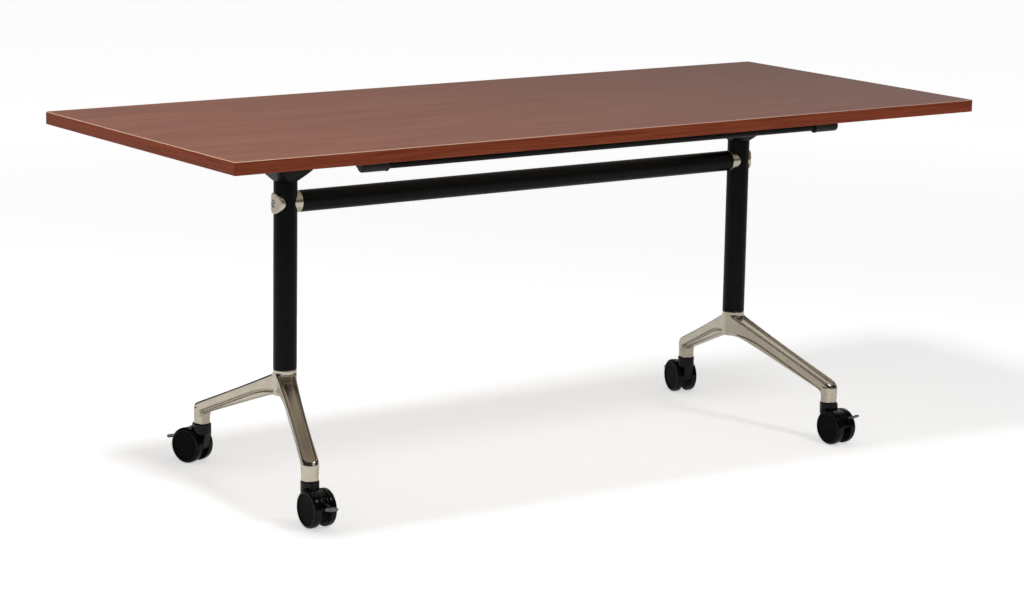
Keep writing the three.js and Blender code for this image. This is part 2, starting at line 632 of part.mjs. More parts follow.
function foot(outward, turn) {
  const hub = join(
    rodZ(columnRadius, hubBottom, HUB_TOP, ROUND_SIDES),
    rodZ(columnBore - FIT, HUB_TOP - OVERSHOOT, HUB_TOP + FOOT_SPIGOT, ROUND_SIDES),
  );
  const arms = [];
  const channels = [];
  const bores = [];
  for (const forward of [-1, 1]) {
    const angle = socketAngle(outward, forward, turn);
    const socket = rodZ(socketRadius, CASTER_HEIGHT, armTop(armLength) - BEAM_DEPTH / 2, ROUND_SIDES);
    const arm = join(armBeam(), armKeel(), socket.translate(armLength, 0, 0));
    const bore = rodZ(STEM_DIAMETER / 2 + FIT, CASTER_HEIGHT - OVERSHOOT, CASTER_HEIGHT + STEM_REACH + FIT);
    arms.push(arm.rotateZ(angle));
    channels.push(armChannel().rotateZ(angle));
    bores.push(bore.translate(armLength, 0, 0).rotateZ(angle));
  }
  return cut(join(...arms, hub), ...channels, ...bores);
}

// Caster, in its own frame: the swivel axis is Z, the wheels trail along +X and the axle runs along Y
function casterStem() {
  return rodZ(STEM_DIAMETER / 2, stemFoot, CASTER_HEIGHT + STEM_REACH);
}

function casterHood() {
  const webRadius = wheelRadius - WEB_SETBACK;
  const halfWeb = WEB_WIDTH / 2;
  const neckLow = neckTop - NECK_HEIGHT;
  const neckRadius = NECK_DIAMETER / 2;
  const web = rodY(webRadius, -halfWeb, halfWeb, ROUND_SIDES).translate(CASTER_TRAIL, 0, wheelRadius);
  const flank = polygon([
    [CASTER_TRAIL - webRadius, wheelRadius],
    [CASTER_TRAIL, wheelRadius],
    [neckRadius, neckTop - OVERSHOOT],
    [-neckRadius + OVERSHOOT, neckTop - OVERSHOOT],
    [-neckRadius + OVERSHOOT, neckLow],
  ]);
  const neck = rodZ(neckRadius, neckLow, neckTop, ROUND_SIDES);
  const wheelRoom = [-1, 1].map((sign) => {
    const tool = rodY(wheelCorner + NECK_CLEARANCE, halfWeb, 2 * NECK_DIAMETER, ROUND_SIDES);
    return tool.scale(1, sign, 1).translate(CASTER_TRAIL, 0, wheelRadius);
  });
  const [frontEdge, rearEdge] = [wheelRadius - WEB_FRONT_DROP, wheelRadius + WEB_REAR_RISE];
  const below = polygon([
    [CASTER_TRAIL - WHEEL_DIAMETER, 0],
    [CASTER_TRAIL + WHEEL_DIAMETER, 0],
    [CASTER_TRAIL + WHEEL_DIAMETER, rearEdge],
    [CASTER_TRAIL + webRadius, rearEdge],
    [CASTER_TRAIL + WEB_BOSS / 2, wheelRadius - WEB_BOSS],
    [CASTER_TRAIL - WEB_BOSS, wheelRadius - WEB_BOSS],
    [CASTER_TRAIL - webRadius, frontEdge],
    [CASTER_TRAIL - WHEEL_DIAMETER, frontEdge],
  ]);
  const stemBore = rodZ(STEM_DIAMETER / 2 + FIT, stemFoot - FIT, neckTop + OVERSHOOT);
  const axleBore = rodY(AXLE_DIAMETER / 2 + FIT, -WEB_WIDTH, WEB_WIDTH);
  axleBore.translate(CASTER_TRAIL, 0, wheelRadius);
  const heel = -TONGUE_HEEL - SLOT_ROOM;
  const slotHalf = TONGUE_THICKNESS / 2 + SLOT_ROOM;
  const slotMouth = slotHalf + PADDLE_OUTER * Math.tan(pedalTilt);
  const slotSide = polygon([
    [heel, -slotHalf],
    [0, -slotHalf],
    [PADDLE_OUTER, -slotMouth],
    [PADDLE_OUTER, slotMouth],
    [0, slotHalf],
    [heel, slotHalf],
  ]);
  const slot = sidePrism(slotSide, TONGUE_WIDTH + 2 * FIT).translate(pedalPivotX, 0, pedalPivotZ);
  const pinBore = rodY(TONGUE_PIN_DIAMETER / 2 + FIT, -WEB_WIDTH, WEB_WIDTH);
  pinBore.translate(pedalPivotX, 0, pedalPivotZ);
  const body = join(cut(neck, ...wheelRoom), web, sidePrism(flank, WEB_WIDTH));
  return cut(body, sidePrism(below, 2 * WEB_WIDTH), stemBore, axleBore, slot, pinBore);
}

function casterWheel(side) {
  const bore = AXLE_DIAMETER / 2 + FIT;
  const [rim, recess] = [wheelCorner - WHEEL_RIM, wheelOuter - WHEEL_RECESS];
  const profile = [[bore, wheelInner], [wheelCorner - WHEEL_CHAMFER, wheelInner]];
  profile.push([wheelCorner, wheelInner + WHEEL_CHAMFER], [wheelCorner, wheelOuter - WHEEL_CHAMFER]);
  profile.push([wheelCorner - WHEEL_CHAMFER, wheelOuter], [rim, wheelOuter]);
  profile.push([rim - WHEEL_RECESS, recess], [bore, recess], [bore, wheelInner]);
  const wheel = turned(profile, WHEEL_SIDES, Math.PI / WHEEL_SIDES);
  return wheel.scale(1, side, 1).translate(CASTER_TRAIL, 0, wheelRadius);
}

function casterAxle() {
  const half = wheelOuter - WHEEL_RECESS;
  return rodY(AXLE_DIAMETER / 2, -half, half).translate(CASTER_TRAIL, 0, wheelRadius);
}

// Pedal: a tongue on a pin in the web's slot and a leaf of a paddle outside the wheels, tilted about the pin
function brakePedal(braked) {
  const halfLeaf = (PADDLE_OUTER - PADDLE_INNER) / 2;
  const halfWidth = PADDLE_WIDTH / 2;
  const bow = (halfWidth ** 2 + halfLeaf ** 2) / (2 * halfLeaf);
  const reach = Math.asin(halfWidth / bow);
  const plan = new THREE.Shape();
  plan.absarc(PADDLE_OUTER - bow, 0, bow, -reach, reach);
  plan.absarc(PADDLE_INNER + bow, 0, bow, Math.PI - reach, Math.PI + reach);
  const half = TONGUE_THICKNESS / 2;
  const tipLow = -half + PADDLE_TIP_LIFT;
  const side = polygon([
    [PADDLE_INNER, -half],
    [PADDLE_OUTER, tipLow],
    [PADDLE_OUTER, tipLow + PADDLE_TIP_THICKNESS],
    [PADDLE_INNER, half],
  ]);
  const paddle = common(planPrism(plan, -TONGUE_THICKNESS, TONGUE_THICKNESS), sidePrism(side, PADDLE_WIDTH));
  const halfTongue = TONGUE_WIDTH / 2;
  const tongue = box([-TONGUE_HEEL, -halfTongue, -half], [PADDLE_INNER + half, halfTongue, half]);
  const pin = rodY(TONGUE_PIN_DIAMETER / 2, -TONGUE_PIN_LENGTH / 2, TONGUE_PIN_LENGTH / 2);
  const pedal = join(paddle, tongue, pin).rotateY(braked ? pedalTilt : -pedalTilt);
  return pedal.translate(pedalPivotX, 0, pedalPivotZ);
}

// Assembly
const table = new THREE.Group();
addPiece(table, 'tabletop_panel', topPanel(), 'laminate');
addPiece(table, 'edge_band', edgeBand(), 'edge');
addPiece(table, 'crossbar', crossbar(), 'powderCoat');
addPiece(table, 'release_bar', releaseBar(), 'powderCoat');

for (const [side, outward] of [['left', -1], ['right', 1]]) {
  const inward = -outward;
  const leg = new THREE.Group();
  leg.position.x = outward * columnX;
  table.add(leg);
  addPiece(leg, `${side}_column`, column(), 'powderCoat');
  addPiece(leg, `${side}_inner_saddle`, innerSaddle(inward), 'nickel');
  addPiece(leg, `${side}_outer_cap`, outerCap(inward), 'nickel');
  addPiece(leg, `${side}_tie_bolt`, tieBolt(inward), 'zincSteel');
  addPiece(leg, `${side}_crossbar_plug`, crossbarPlug(inward), 'zincSteel');
  addPiece(leg, `${side}_foot`, foot(outward, FOOT_TURN[side]), 'nickel');
  addPiece(leg, `${side}_flip_head`, flipHead(), 'powderCoat');
  addPiece(leg, `${side}_pivot_pin`, pivotPin(inward), 'zincSteel');
  addPiece(leg, `${side}_top_bracket`, topBracket(), 'powderCoat');
  addPiece(leg, `${side}_latch_bolt`, latchBolt(), 'zincSteel');
  addPiece(leg, `${side}_latch_spring`, latchSpring(), 'zincSteel');
  addPiece(table, `${side}_release_grip`, releaseGrip(outward), 'moulding');

  for (const [end, forward] of [['front', -1], ['rear', 1]]) {
    const place = `${end}_${side}`;
    const caster = new THREE.Group();
    const angle = socketAngle(outward, forward, FOOT_TURN[side]);
    caster.position.set(armLength * Math.cos(angle), armLength * Math.sin(angle), 0);
    caster.rotation.z = THREE.MathUtils.degToRad(SWIVEL_ANGLES[place] - 90);
    leg.add(caster);
    const innerSide = outward * forward;
    addPiece(caster, `${place}_caster_stem`, casterStem(), 'zincSteel');
    addPiece(caster, `${place}_caster_hood`, casterHood(), 'nylon');
    addPiece(caster, `${place}_inner_wheel`, casterWheel(innerSide), 'nylon');
    addPiece(caster, `${place}_outer_wheel`, casterWheel(-innerSide), 'nylon');
    addPiece(caster, `${place}_axle`, casterAxle(), 'zincSteel');
    addPiece(caster, `${place}_brake_pedal`, brakePedal(BRAKED[place]), 'moulding');
  }
}

export default table;
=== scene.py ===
"""Looks of a flip top training table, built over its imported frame.

The frame gives the places: boxes of the CAD nodes and the joints of the record. Each class holds the
sizes of one sub-assembly in millimetres and works out its surfaces as whole numpy arrays.
"""

from __future__ import annotations

import json
import logging
import math
from collections.abc import Callable, Sequence
from dataclasses import dataclass, field
from enum import Enum
from functools import reduce

import bmesh
import bpy
import numpy as np
from mathutils import Matrix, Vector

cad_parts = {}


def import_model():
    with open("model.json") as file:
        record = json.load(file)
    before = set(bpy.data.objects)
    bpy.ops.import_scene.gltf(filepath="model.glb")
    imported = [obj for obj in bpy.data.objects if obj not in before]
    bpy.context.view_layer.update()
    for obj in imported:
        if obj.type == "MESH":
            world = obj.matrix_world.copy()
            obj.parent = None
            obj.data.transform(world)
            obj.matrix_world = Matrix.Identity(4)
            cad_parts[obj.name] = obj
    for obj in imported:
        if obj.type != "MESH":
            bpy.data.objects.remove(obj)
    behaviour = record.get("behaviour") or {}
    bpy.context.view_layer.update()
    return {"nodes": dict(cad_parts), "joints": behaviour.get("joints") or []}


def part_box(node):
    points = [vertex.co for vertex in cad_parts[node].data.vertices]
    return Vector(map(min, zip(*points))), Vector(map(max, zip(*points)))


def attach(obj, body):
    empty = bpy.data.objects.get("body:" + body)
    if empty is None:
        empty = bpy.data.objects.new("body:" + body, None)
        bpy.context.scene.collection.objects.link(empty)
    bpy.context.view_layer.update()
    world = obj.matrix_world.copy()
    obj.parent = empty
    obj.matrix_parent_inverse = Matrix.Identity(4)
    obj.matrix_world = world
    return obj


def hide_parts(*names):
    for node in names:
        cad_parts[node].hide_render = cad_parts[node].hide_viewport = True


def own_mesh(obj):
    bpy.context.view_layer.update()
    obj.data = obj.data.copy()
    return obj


MM = 0.001  # metres in a millimetre
UP = np.array([0.0, 0.0, 1.0])
ALONG_X = np.array([1.0, 0.0, 0.0])
ALONG_Y = np.array([0.0, 1.0, 0.0])
ROUND = 72  # stations round a tube or a turned piece
SMALL_ROUND = 40  # stations round a pin or a latch bolt
SCREW_ROUND = 20  # stations round a screw head
WHEEL_ROUND = 96  # stations round a wheel or a tyre
BOLT_ROUND = 120  # stations round the tie bolt, a multiple of six for its socket
SHARP_ANGLE = math.radians(38)  # edges above it are shaded as edges
CUT_ANGLE = math.radians(40)  # edges of a sheet above it are broken
FLAT_ANGLE = math.radians(1)  # faces of a sheet below it are one face
SAME_PLACE = 0.01  # millimetres within which points of a sheet are one point
STRAIGHT = math.radians(89)  # half the angle of a corner that counts as straight
UPRIGHT = 0.9  # height of a unit direction that counts as upright
ROOM = 4.0  # margin of the grid round a large shape
SMALL_ROOM = 3.0  # margin of the grid round a small shape
NUDGE = 0.05  # of a grid step, to measure the slope of a field
SLIDES = 4  # steps down that slope onto the surface
LEAST_SLOPE = 0.05  # smallest squared slope that a step is divided by
FAR_INSIDE = -1e3  # field where a face sets no limit
COLOUR_A, COLOUR_B, COLOUR_OUT = 6, 7, 2  # sockets of a mix of colours
FLOAT_A, FLOAT_B = 2, 3  # sockets of a mix of numbers
WHITE = (1.0, 1.0, 1.0, 1.0)

log = logging.getLogger("training_table")
Field = Callable[[np.ndarray], np.ndarray]


class Side(Enum):
    """The two ends of the table, with the sign of their outward direction."""

    LEFT = -1
    RIGHT = 1

    @property
    def word(self) -> str:
        """The side's name as the frame writes it."""
        return self.name.lower()


class Corner(Enum):
    """The four casters, by the foot that carries them and the end of it."""

    FRONT_LEFT = "front_left"
    FRONT_RIGHT = "front_right"
    REAR_LEFT = "rear_left"
    REAR_RIGHT = "rear_right"


class Body(Enum):
    """Bodies of the frame that carry whole sub-assemblies."""

    BASE = "base"
    TOP = "top"
    RELEASE = "release"


class Slot(Enum):
    """Material slots of the record."""

    LAMINATE = "laminate"
    EDGE = "edge"
    POWDER_COAT = "powder_coat"
    NICKEL = "nickel"
    ZINC_STEEL = "zinc_steel"
    NYLON = "nylon"
    MOULDING = "moulding"


class Finish(Enum):
    """Surfaces that the pieces have; each belongs to one of the slots."""

    LAMINATE = "laminate"
    EDGE = "edge"
    POWDER_COAT = "powder coat"
    NICKEL = "nickel"
    ZINC_STEEL = "zinc steel"
    HOOD = "hood"
    WHEEL = "wheel"
    TYRE = "tyre"
    GRIP = "grip"
    PEDAL = "pedal"


@dataclass
class Skin:
    """A closed surface.

    Attributes:
        points: places in millimetres, one row each.
        quads: four point numbers for each face.
        caps: faces with more corners, which close the ends.
        uv: for each corner of each quad, a place on the surface in metres.
    """

    points: np.ndarray
    quads: np.ndarray
    caps: list[np.ndarray] = field(default_factory=list)
    uv: np.ndarray | None = None

    def volume(self) -> float:
        """Signed volume, the sum of the tetrahedra from the origin to each triangle.

        Returns:
            Cubic millimetres, negative where the faces point in.
        """
        corners = [self.quads[:, [0, 1, 2]], self.quads[:, [0, 2, 3]]]
        for cap in self.caps:
            first = np.full(len(cap) - 2, cap[0])
            corners.append(np.stack([first, cap[1:-1], cap[2:]], axis=1))
        a, b, c = (self.points[np.concatenate(corners)[:, k]] for k in range(3))
        return float(np.einsum("ij,ij->i", a, np.cross(b, c)).sum() / 6)

    def outward(self) -> Skin:
        """The same surface with every face pointing out.

        Returns:
            The surface itself, or one with its faces turned round where the volume is negative.
        """
        if self.volume() >= 0:
            return self
        uv = None if self.uv is None else self.uv[:, ::-1]
        return Skin(self.points, self.quads[:, ::-1], [cap[::-1] for cap in self.caps], uv)

    def moved(self, axes: np.ndarray, origin: np.ndarray) -> Skin:
        """The surface carried to another frame, point = origin + axes times local point.

        Args:
            axes: columns are the local axes in the new frame; a mirror is allowed.
            origin: place of the local origin.

        Returns:
            The carried surface, facing out.
        """
        points = self.points @ np.asarray(axes).T + np.asarray(origin)
        return Skin(points, self.quads, self.caps, self.uv).outward()

    def joined(self, other: Skin) -> Skin:
        """Both surfaces as one piece, without a UV map.

        Args:
            other: the surface to add.

        Returns:
            The joined surface.
        """
        shift = len(self.points)
        caps = self.caps + [cap + shift for cap in other.caps]
        points = np.concatenate([self.points, other.points])
        return Skin(points, np.concatenate([self.quads, other.quads + shift]), caps)


def right_round(count: int) -> np.ndarray:
    """Angles in equal steps right round, the last one short of a full turn."""
    return 2 * np.pi * np.arange(count) / count


def lofted(rings: np.ndarray, ends_meet: bool = False) -> Skin:
    """Surface through rings of points, closed round each ring.

    Point (i, j) is station j of ring i, and a quad spans each pair of neighbours in both directions.

    Args:
        rings: array of rings by stations by three.
        ends_meet: the last ring joins the first; otherwise a flat face closes each end.

    Returns:
        The closed surface, facing out.
    """
    count, around = rings.shape[:2]
    index = np.arange(count * around).reshape(count, around)
    low, high = (index, np.roll(index, -1, 0)) if ends_meet else (index[:-1], index[1:])
    quads = np.stack([low, np.roll(low, -1, 1), np.roll(high, -1, 1), high], axis=-1).reshape(-1, 4)
    caps = [] if ends_meet else [index[0][::-1], index[-1]]
    return Skin(rings.reshape(-1, 3), quads, caps).outward()


def across_pair(axis: np.ndarray) -> tuple[np.ndarray, np.ndarray]:
    """Two directions square to an axis and to each other.

    Args:
        axis: unit direction.

    Returns:
        The level direction and the one square to both.
    """
    level = np.cross(UP, axis) if abs(axis[2]) < UPRIGHT else np.cross(axis, ALONG_Y)
    level = level / np.linalg.norm(level)
    return level, np.cross(axis, level)


def turned(
    profile: np.ndarray, centre: np.ndarray, axis: np.ndarray, around: int = ROUND, ring: bool = False
) -> Skin:
    """Profile turned about an axis.

    Point = centre + along * axis + radius * (u cos t + v sin t), with t right round. A radius may itself
    be an array over t, which gives a hexagonal socket.

    Args:
        profile: rows of (radius, along), or rows by stations by two.
        centre: a point on the axis.
        axis: unit direction of the axis.
        around: stations round the axis.
        ring: the profile's last point joins its first.

    Returns:
        The closed surface.
    """
    angle = right_round(around)
    if profile.ndim == 2:
        profile = np.repeat(profile[:, None, :], around, axis=1)
    u, v = across_pair(axis)
    spoke = np.cos(angle)[:, None] * u + np.sin(angle)[:, None] * v
    return lofted(centre + profile[..., 1:] * axis + profile[..., :1] * spoke, ends_meet=ring)


def eased(corners: Sequence[tuple[float, float, float]], steps: int = 5) -> np.ndarray:
    """Outline through corners, each rounded by an arc tangent to both its sides.

    With directions a and b to the neighbours and half the angle between them h, the arc starts and ends
    radius / tan h from the corner and is centred radius / sin h along the bisector.

    Args:
        corners: (radius or breadth, along, rounding) of each corner.
        steps: straight steps in one arc.

    Returns:
        The outline's points.
    """
    places = np.array([corner[:2] for corner in corners], float)
    outline = [places[:1]]
    for before, corner, after, (_, _, radius) in zip(places, places[1:], places[2:], corners[1:-1]):
        a, b = before - corner, after - corner
        a, b = a / np.linalg.norm(a), b / np.linalg.norm(b)
        half = math.acos(float(np.clip(a @ b, -1, 1))) / 2
        if radius <= 0 or half > STRAIGHT:
            outline.append(corner[None])
            continue
        centre = corner + (a + b) / np.linalg.norm(a + b) * radius / math.sin(half)
        first, last = corner + a * radius / math.tan(half), corner + b * radius / math.tan(half)
        sweep = math.pi - 2 * half
        share = np.linspace(0, 1, steps + 1)[:, None]
        weights = np.sin((1 - share) * sweep), np.sin(share * sweep)
        spoke = (weights[0] * (first - centre) + weights[1] * (last - centre)) / math.sin(sweep)
        outline.append(centre + spoke)
    outline.append(places[-1:])
    return np.concatenate(outline)


def rod(
    centre: np.ndarray,
    axis: np.ndarray,
    radius: float,
    reach: tuple[float, float],
    ease: float,
    around: int = ROUND,
) -> Skin:
    """A round bar with eased end edges.

    Args:
        centre: a point on the axis.
        axis: unit direction.
        radius: outer radius.
        reach: where it starts and ends along the axis from the centre.
        ease: rounding of both end edges.
        around: stations round the axis.

    Returns:
        The closed surface.
    """
    low, high = reach
    core = radius / 2  # where the flat cap of each end begins
    profile = eased([(core, low, 0), (radius, low, ease), (radius, high, ease), (core, high, 0)])
    return turned(profile, centre, axis, around)


def meet(*distances: np.ndarray, ease: float | np.ndarray = 0.0) -> np.ndarray:
    """Distance field of what lies inside all the given fields, with its convex edges rounded.

    Each field is pushed in by the rounding; outside, the lengths of the positive parts add as a
    vector, and the rounding is taken off again.

    Args:
        distances: fields that are negative inside.
        ease: radius of the rounded edges.

    Returns:
        The common field.
    """
    inner = np.stack(np.broadcast_arrays(*distances)) + ease
    return np.minimum(inner.max(0), 0) + np.linalg.norm(np.maximum(inner, 0), axis=0) - ease


def welded(a: np.ndarray, b: np.ndarray, fillet: float) -> np.ndarray:
    """Field of two solids joined with a fillet: the smaller field, less a parabola where both are near."""
    share = np.clip(0.5 + 0.5 * (b - a) / fillet, 0, 1)
    return b * (1 - share) + a * share - fillet * share * (1 - share)


def carved(a: np.ndarray, tool: np.ndarray, fillet: float) -> np.ndarray:
    """Field of a solid with a tool cut out of it and the edges of the cut broken."""
    return -welded(-a, tool, fillet)


def slid(points: np.ndarray, shape: Field, step: float) -> np.ndarray:
    """Points slid down the slope of a field to where it is zero.

    One step is field / slope^2 * slope, by at most half a grid step in each direction.

    Args:
        points: places near the surface.
        shape: field over points, in millimetres.
        step: grid spacing.

    Returns:
        The places on the surface.
    """
    nudge = np.eye(3) * step * NUDGE
    for _ in range(SLIDES):
        slope = np.stack([shape(points + d) - shape(points - d) for d in nudge], -1) / (2 * NUDGE * step)
        steep = np.maximum((slope**2).sum(-1, keepdims=True), LEAST_SLOPE)
        points = points - np.clip(shape(points)[:, None] / steep * slope, -step / 2, step / 2)
    return points


def cast(shape: Field, low: Sequence[float], high: Sequence[float], step: float) -> Skin:
    """Skin of the solid where a field is negative.

    Every grid cell that the surface crosses gets one point, the mean of the crossings on its edges. The
    point then slides down the field's slope onto the surface, and each grid edge with a crossing is
    ringed by the quad of its four cells.

    Args:
        shape: field over points, in millimetres.
        low: lowest corner of the grid.
        high: highest corner of the grid.
        step: grid spacing.

    Returns:
        The closed surface, facing out.
    """
    low = np.asarray(low, float)
    counts = np.ceil((np.asarray(high) - low) / step).astype(int) + 1
    lines = [low[k] + step * np.arange(counts[k]) for k in range(3)]
    value = shape(np.stack(np.meshgrid(*lines, indexing="ij"), -1))
    inside = value < 0
    corner = np.stack(np.meshgrid([0, 1], [0, 1], [0, 1], indexing="ij"), -1).reshape(-1, 3)
    span = counts - 1
    filled = sum(
        inside[i : i + span[0], j : j + span[1], k : k + span[2]].astype(int) for i, j, k in corner
    )
    crossed = (filled > 0) & (filled < len(corner))
    number = np.full(crossed.shape, -1)
    number[crossed] = np.arange(crossed.sum())
    cells = np.argwhere(crossed)
    total, hits = np.zeros((len(cells), 3)), np.zeros((len(cells), 1))
    unit = np.eye(3, dtype=int)
    quads = []
    for axis in range(3):
        one, other, third = (unit[(axis + k) % 3] for k in range(3))
        for start in corner[corner[:, axis] == 0]:
            near, far = value[tuple((cells + start).T)], value[tuple((cells + start + one).T)]
            cross = ((near < 0) != (far < 0))[:, None]
            share = near / np.where(near == far, 1, near - far)
            total += np.where(cross, cells + start + share[:, None] * one, 0)
            hits += cross
        edges = np.argwhere(inside ^ np.roll(inside, -1, axis))
        edges = edges[(edges[:, axis] < counts[axis] - 1) & (edges + other + third < counts).all(1)]
        edges = edges[(edges - other - third >= 0).all(1)]
        offsets = (other * 0, other, other + third, third)
        ring = np.stack([number[tuple((edges - offset).T)] for offset in offsets], axis=1)
        leaves = inside[tuple(edges.T)][:, None]  # the edge starts inside
        quads.append(np.where(leaves, ring, ring[:, ::-1]))
    points = slid(low + step * total / hits, shape, step)
    return Skin(points, np.concatenate(quads)).outward()


def linear(code: str) -> tuple[float, float, float, float]:
    """An sRGB hex colour as the linear values that a shader takes.

    Args:
        code: six hex digits.

    Returns:
        Red, green, blue and an alpha of one.
    """
    parts = np.array([int(code[k : k + 2], 16) for k in (0, 2, 4)]) / 255
    values = np.where(parts <= 0.04045, parts / 12.92, ((parts + 0.055) / 1.055) ** 2.4)
    return (*values.tolist(), 1.0)


def add(
    tree: bpy.types.NodeTree, kind: str, inputs: dict[str | int, object] | None = None, **settings: object
) -> bpy.types.Node:
    """Adds a node with its settings and links.

    Args:
        tree: where it goes.
        kind: the node's type.
        inputs: socket name or number, with a value or the output socket that feeds it.
        settings: properties of the node itself.

    Returns:
        The new node.
    """
    node = tree.nodes.new(kind)
    for key, value in settings.items():
        setattr(node, key, value)
    for key, value in (inputs or {}).items():
        if isinstance(value, bpy.types.NodeSocket):
            tree.links.new(value, node.inputs[key])
        else:
            node.inputs[key].default_value = value
    return node


def blank(title: str) -> bpy.types.Material:
    """A new material whose tree is still empty.

    Args:
        title: the material's name.

    Returns:
        The new material.
    """
    material = bpy.data.materials.new(title)
    material.use_nodes = True
    material.node_tree.nodes.clear()
    return material


def ranged(
    tree: bpy.types.NodeTree,
    value: bpy.types.NodeSocket,
    source: tuple[float, float] = (0.0, 1.0),
    target: tuple[float, float] = (0.0, 1.0),
) -> bpy.types.NodeSocket:
    """A value carried from one range to another and held between its ends.

    Args:
        tree: where the node goes.
        value: socket that gives the value.
        source: range that it comes in.
        target: range that it goes to.

    Returns:
        The socket of the carried value.
    """
    ends = dict(zip(("From Min", "From Max", "To Min", "To Max"), (*source, *target)))
    return add(tree, "ShaderNodeMapRange", {"Value": value, **ends}).outputs[0]


def mixed(
    tree: bpy.types.NodeTree, share: bpy.types.NodeSocket, low: object, high: object
) -> bpy.types.NodeSocket:
    """A colour between two others.

    Args:
        tree: where the node goes.
        share: socket that gives the share of the second colour.
        low: first colour, or the socket that gives it.
        high: second colour, or the socket that gives it.

    Returns:
        The socket of the mixed colour.
    """
    inputs = {0: share, COLOUR_A: low, COLOUR_B: high}
    return add(tree, "ShaderNodeMix", inputs, data_type="RGBA").outputs[COLOUR_OUT]


def reckoned(
    tree: bpy.types.NodeTree, operation: str, *values: object, clamp: bool = False
) -> bpy.types.NodeSocket:
    """Result of a sum.

    Args:
        tree: where the node goes.
        operation: what is done with the values.
        values: numbers, or the sockets that give them.
        clamp: the result is held between zero and one.

    Returns:
        The socket of the result.
    """
    inputs = dict(enumerate(values))
    return add(tree, "ShaderNodeMath", inputs, operation=operation, use_clamp=clamp).outputs[0]


def shaded(tree: bpy.types.NodeTree, inputs: dict[str | int, object]) -> None:
    """Ends a material's tree with its shader.

    Args:
        tree: where the nodes go.
        inputs: the shader's sockets, with values or the output sockets that feed them.
    """
    shader = add(tree, "ShaderNodeBsdfPrincipled", inputs)
    add(tree, "ShaderNodeOutputMaterial", {"Surface": shader.outputs[0]})


def per_metre(size_mm: Sequence[float]) -> tuple[float, ...]:
    """Mapping scale at which one unit of a pattern spans the given size."""
    return tuple(1 / (size * MM) for size in size_mm)


@dataclass(frozen=True)
class WoodPrint:
    """A printed wood decor, its figure stretched along the grain.

    Attributes:
        title: common name of the material and how its surface was made.
        slot: the record's slot that it belongs to; not used.
        dark: colour of the darker bands.
        light: colour of the lighter bands.
        pore: colour of the pores.
        band_mm: size of the broad bands along, across and through.
        streak_mm: size of the fine streaks.
        pore_mm: size of the pores.
        roughness: of the lacquer, lowest and highest.
        specular: reflection level of the lacquer.
        other: colour of a second face, or a painted highlight along an arris, past a limit in height.
        other_from: heights in millimetres at which that colour begins and is full.
        on_surface: the pattern follows the piece's own UV map instead of its place.
        waver: how far the figure strays from straight.
        pore_share: how much of the pores' colour shows.
        relief_mm: depth of the pores.
        relief_strength: how strongly that depth shades.
    """

    title: str
    slot: Slot
    dark: str
    light: str
    pore: str
    band_mm: tuple[float, float, float]
    streak_mm: tuple[float, float, float]
    pore_mm: tuple[float, float, float]
    roughness: tuple[float, float]
    specular: float
    other: str
    other_from: tuple[float, float]
    on_surface: bool = False
    waver: float = 0.5
    pore_share: float = 0.55
    relief_mm: float = 0.05
    relief_strength: float = 0.15

    def material(self) -> bpy.types.Material:
        """The decor as a material: bands, streaks and pores mixed over each other.

        Returns:
            The new material.
        """
        material = blank(self.title)
        tree = material.node_tree
        place = add(tree, "ShaderNodeTexCoord").outputs["UV" if self.on_surface else "Object"]
        height = add(tree, "ShaderNodeSeparateXYZ", {0: place}).outputs["Y" if self.on_surface else "Z"]
        # share of the second colour, which on the edge band is a painted highlight along the upper arris
        past = ranged(tree, height, (self.other_from[0] * MM, self.other_from[1] * MM))
        tone: dict[str, bpy.types.NodeSocket] = {}
        for name, size, detail, reach in (
            ("band", self.band_mm, 3.0, (0.36, 0.64)),
            ("streak", self.streak_mm, 4.0, (0.36, 0.66)),
            ("pore", self.pore_mm, 2.0, (0.60, 0.74)),
        ):
            mapping = add(tree, "ShaderNodeMapping", {"Vector": place, "Scale": per_metre(size)})
            noise = add(
                tree,
                "ShaderNodeTexNoise",
                {"Vector": mapping.outputs[0], "Scale": 1.0, "Detail": detail, "Distortion": self.waver},
            )
            tone[name] = ranged(tree, noise.outputs[0], reach)
        figure = reckoned(tree, "MULTIPLY", tone["band"], tone["streak"])
        colour = mixed(tree, tone["streak"], linear(self.dark), linear(self.light))
        colour = mixed(tree, figure, colour, linear(self.light))
        faint = reckoned(tree, "MULTIPLY", tone["pore"], self.pore_share)
        colour = mixed(tree, faint, colour, linear(self.pore))
        relief = add(
            tree,
            "ShaderNodeBump",
            {"Height": tone["pore"], "Strength": self.relief_strength, "Distance": self.relief_mm * MM},
            invert=True,
        )
        shaded(
            tree,
            {
                "Base Color": mixed(tree, past, colour, linear(self.other)),
                "Roughness": ranged(tree, tone["streak"], target=self.roughness),
                "Specular IOR Level": self.specular,
                "Normal": relief.outputs[0],
            },
        )
        return material


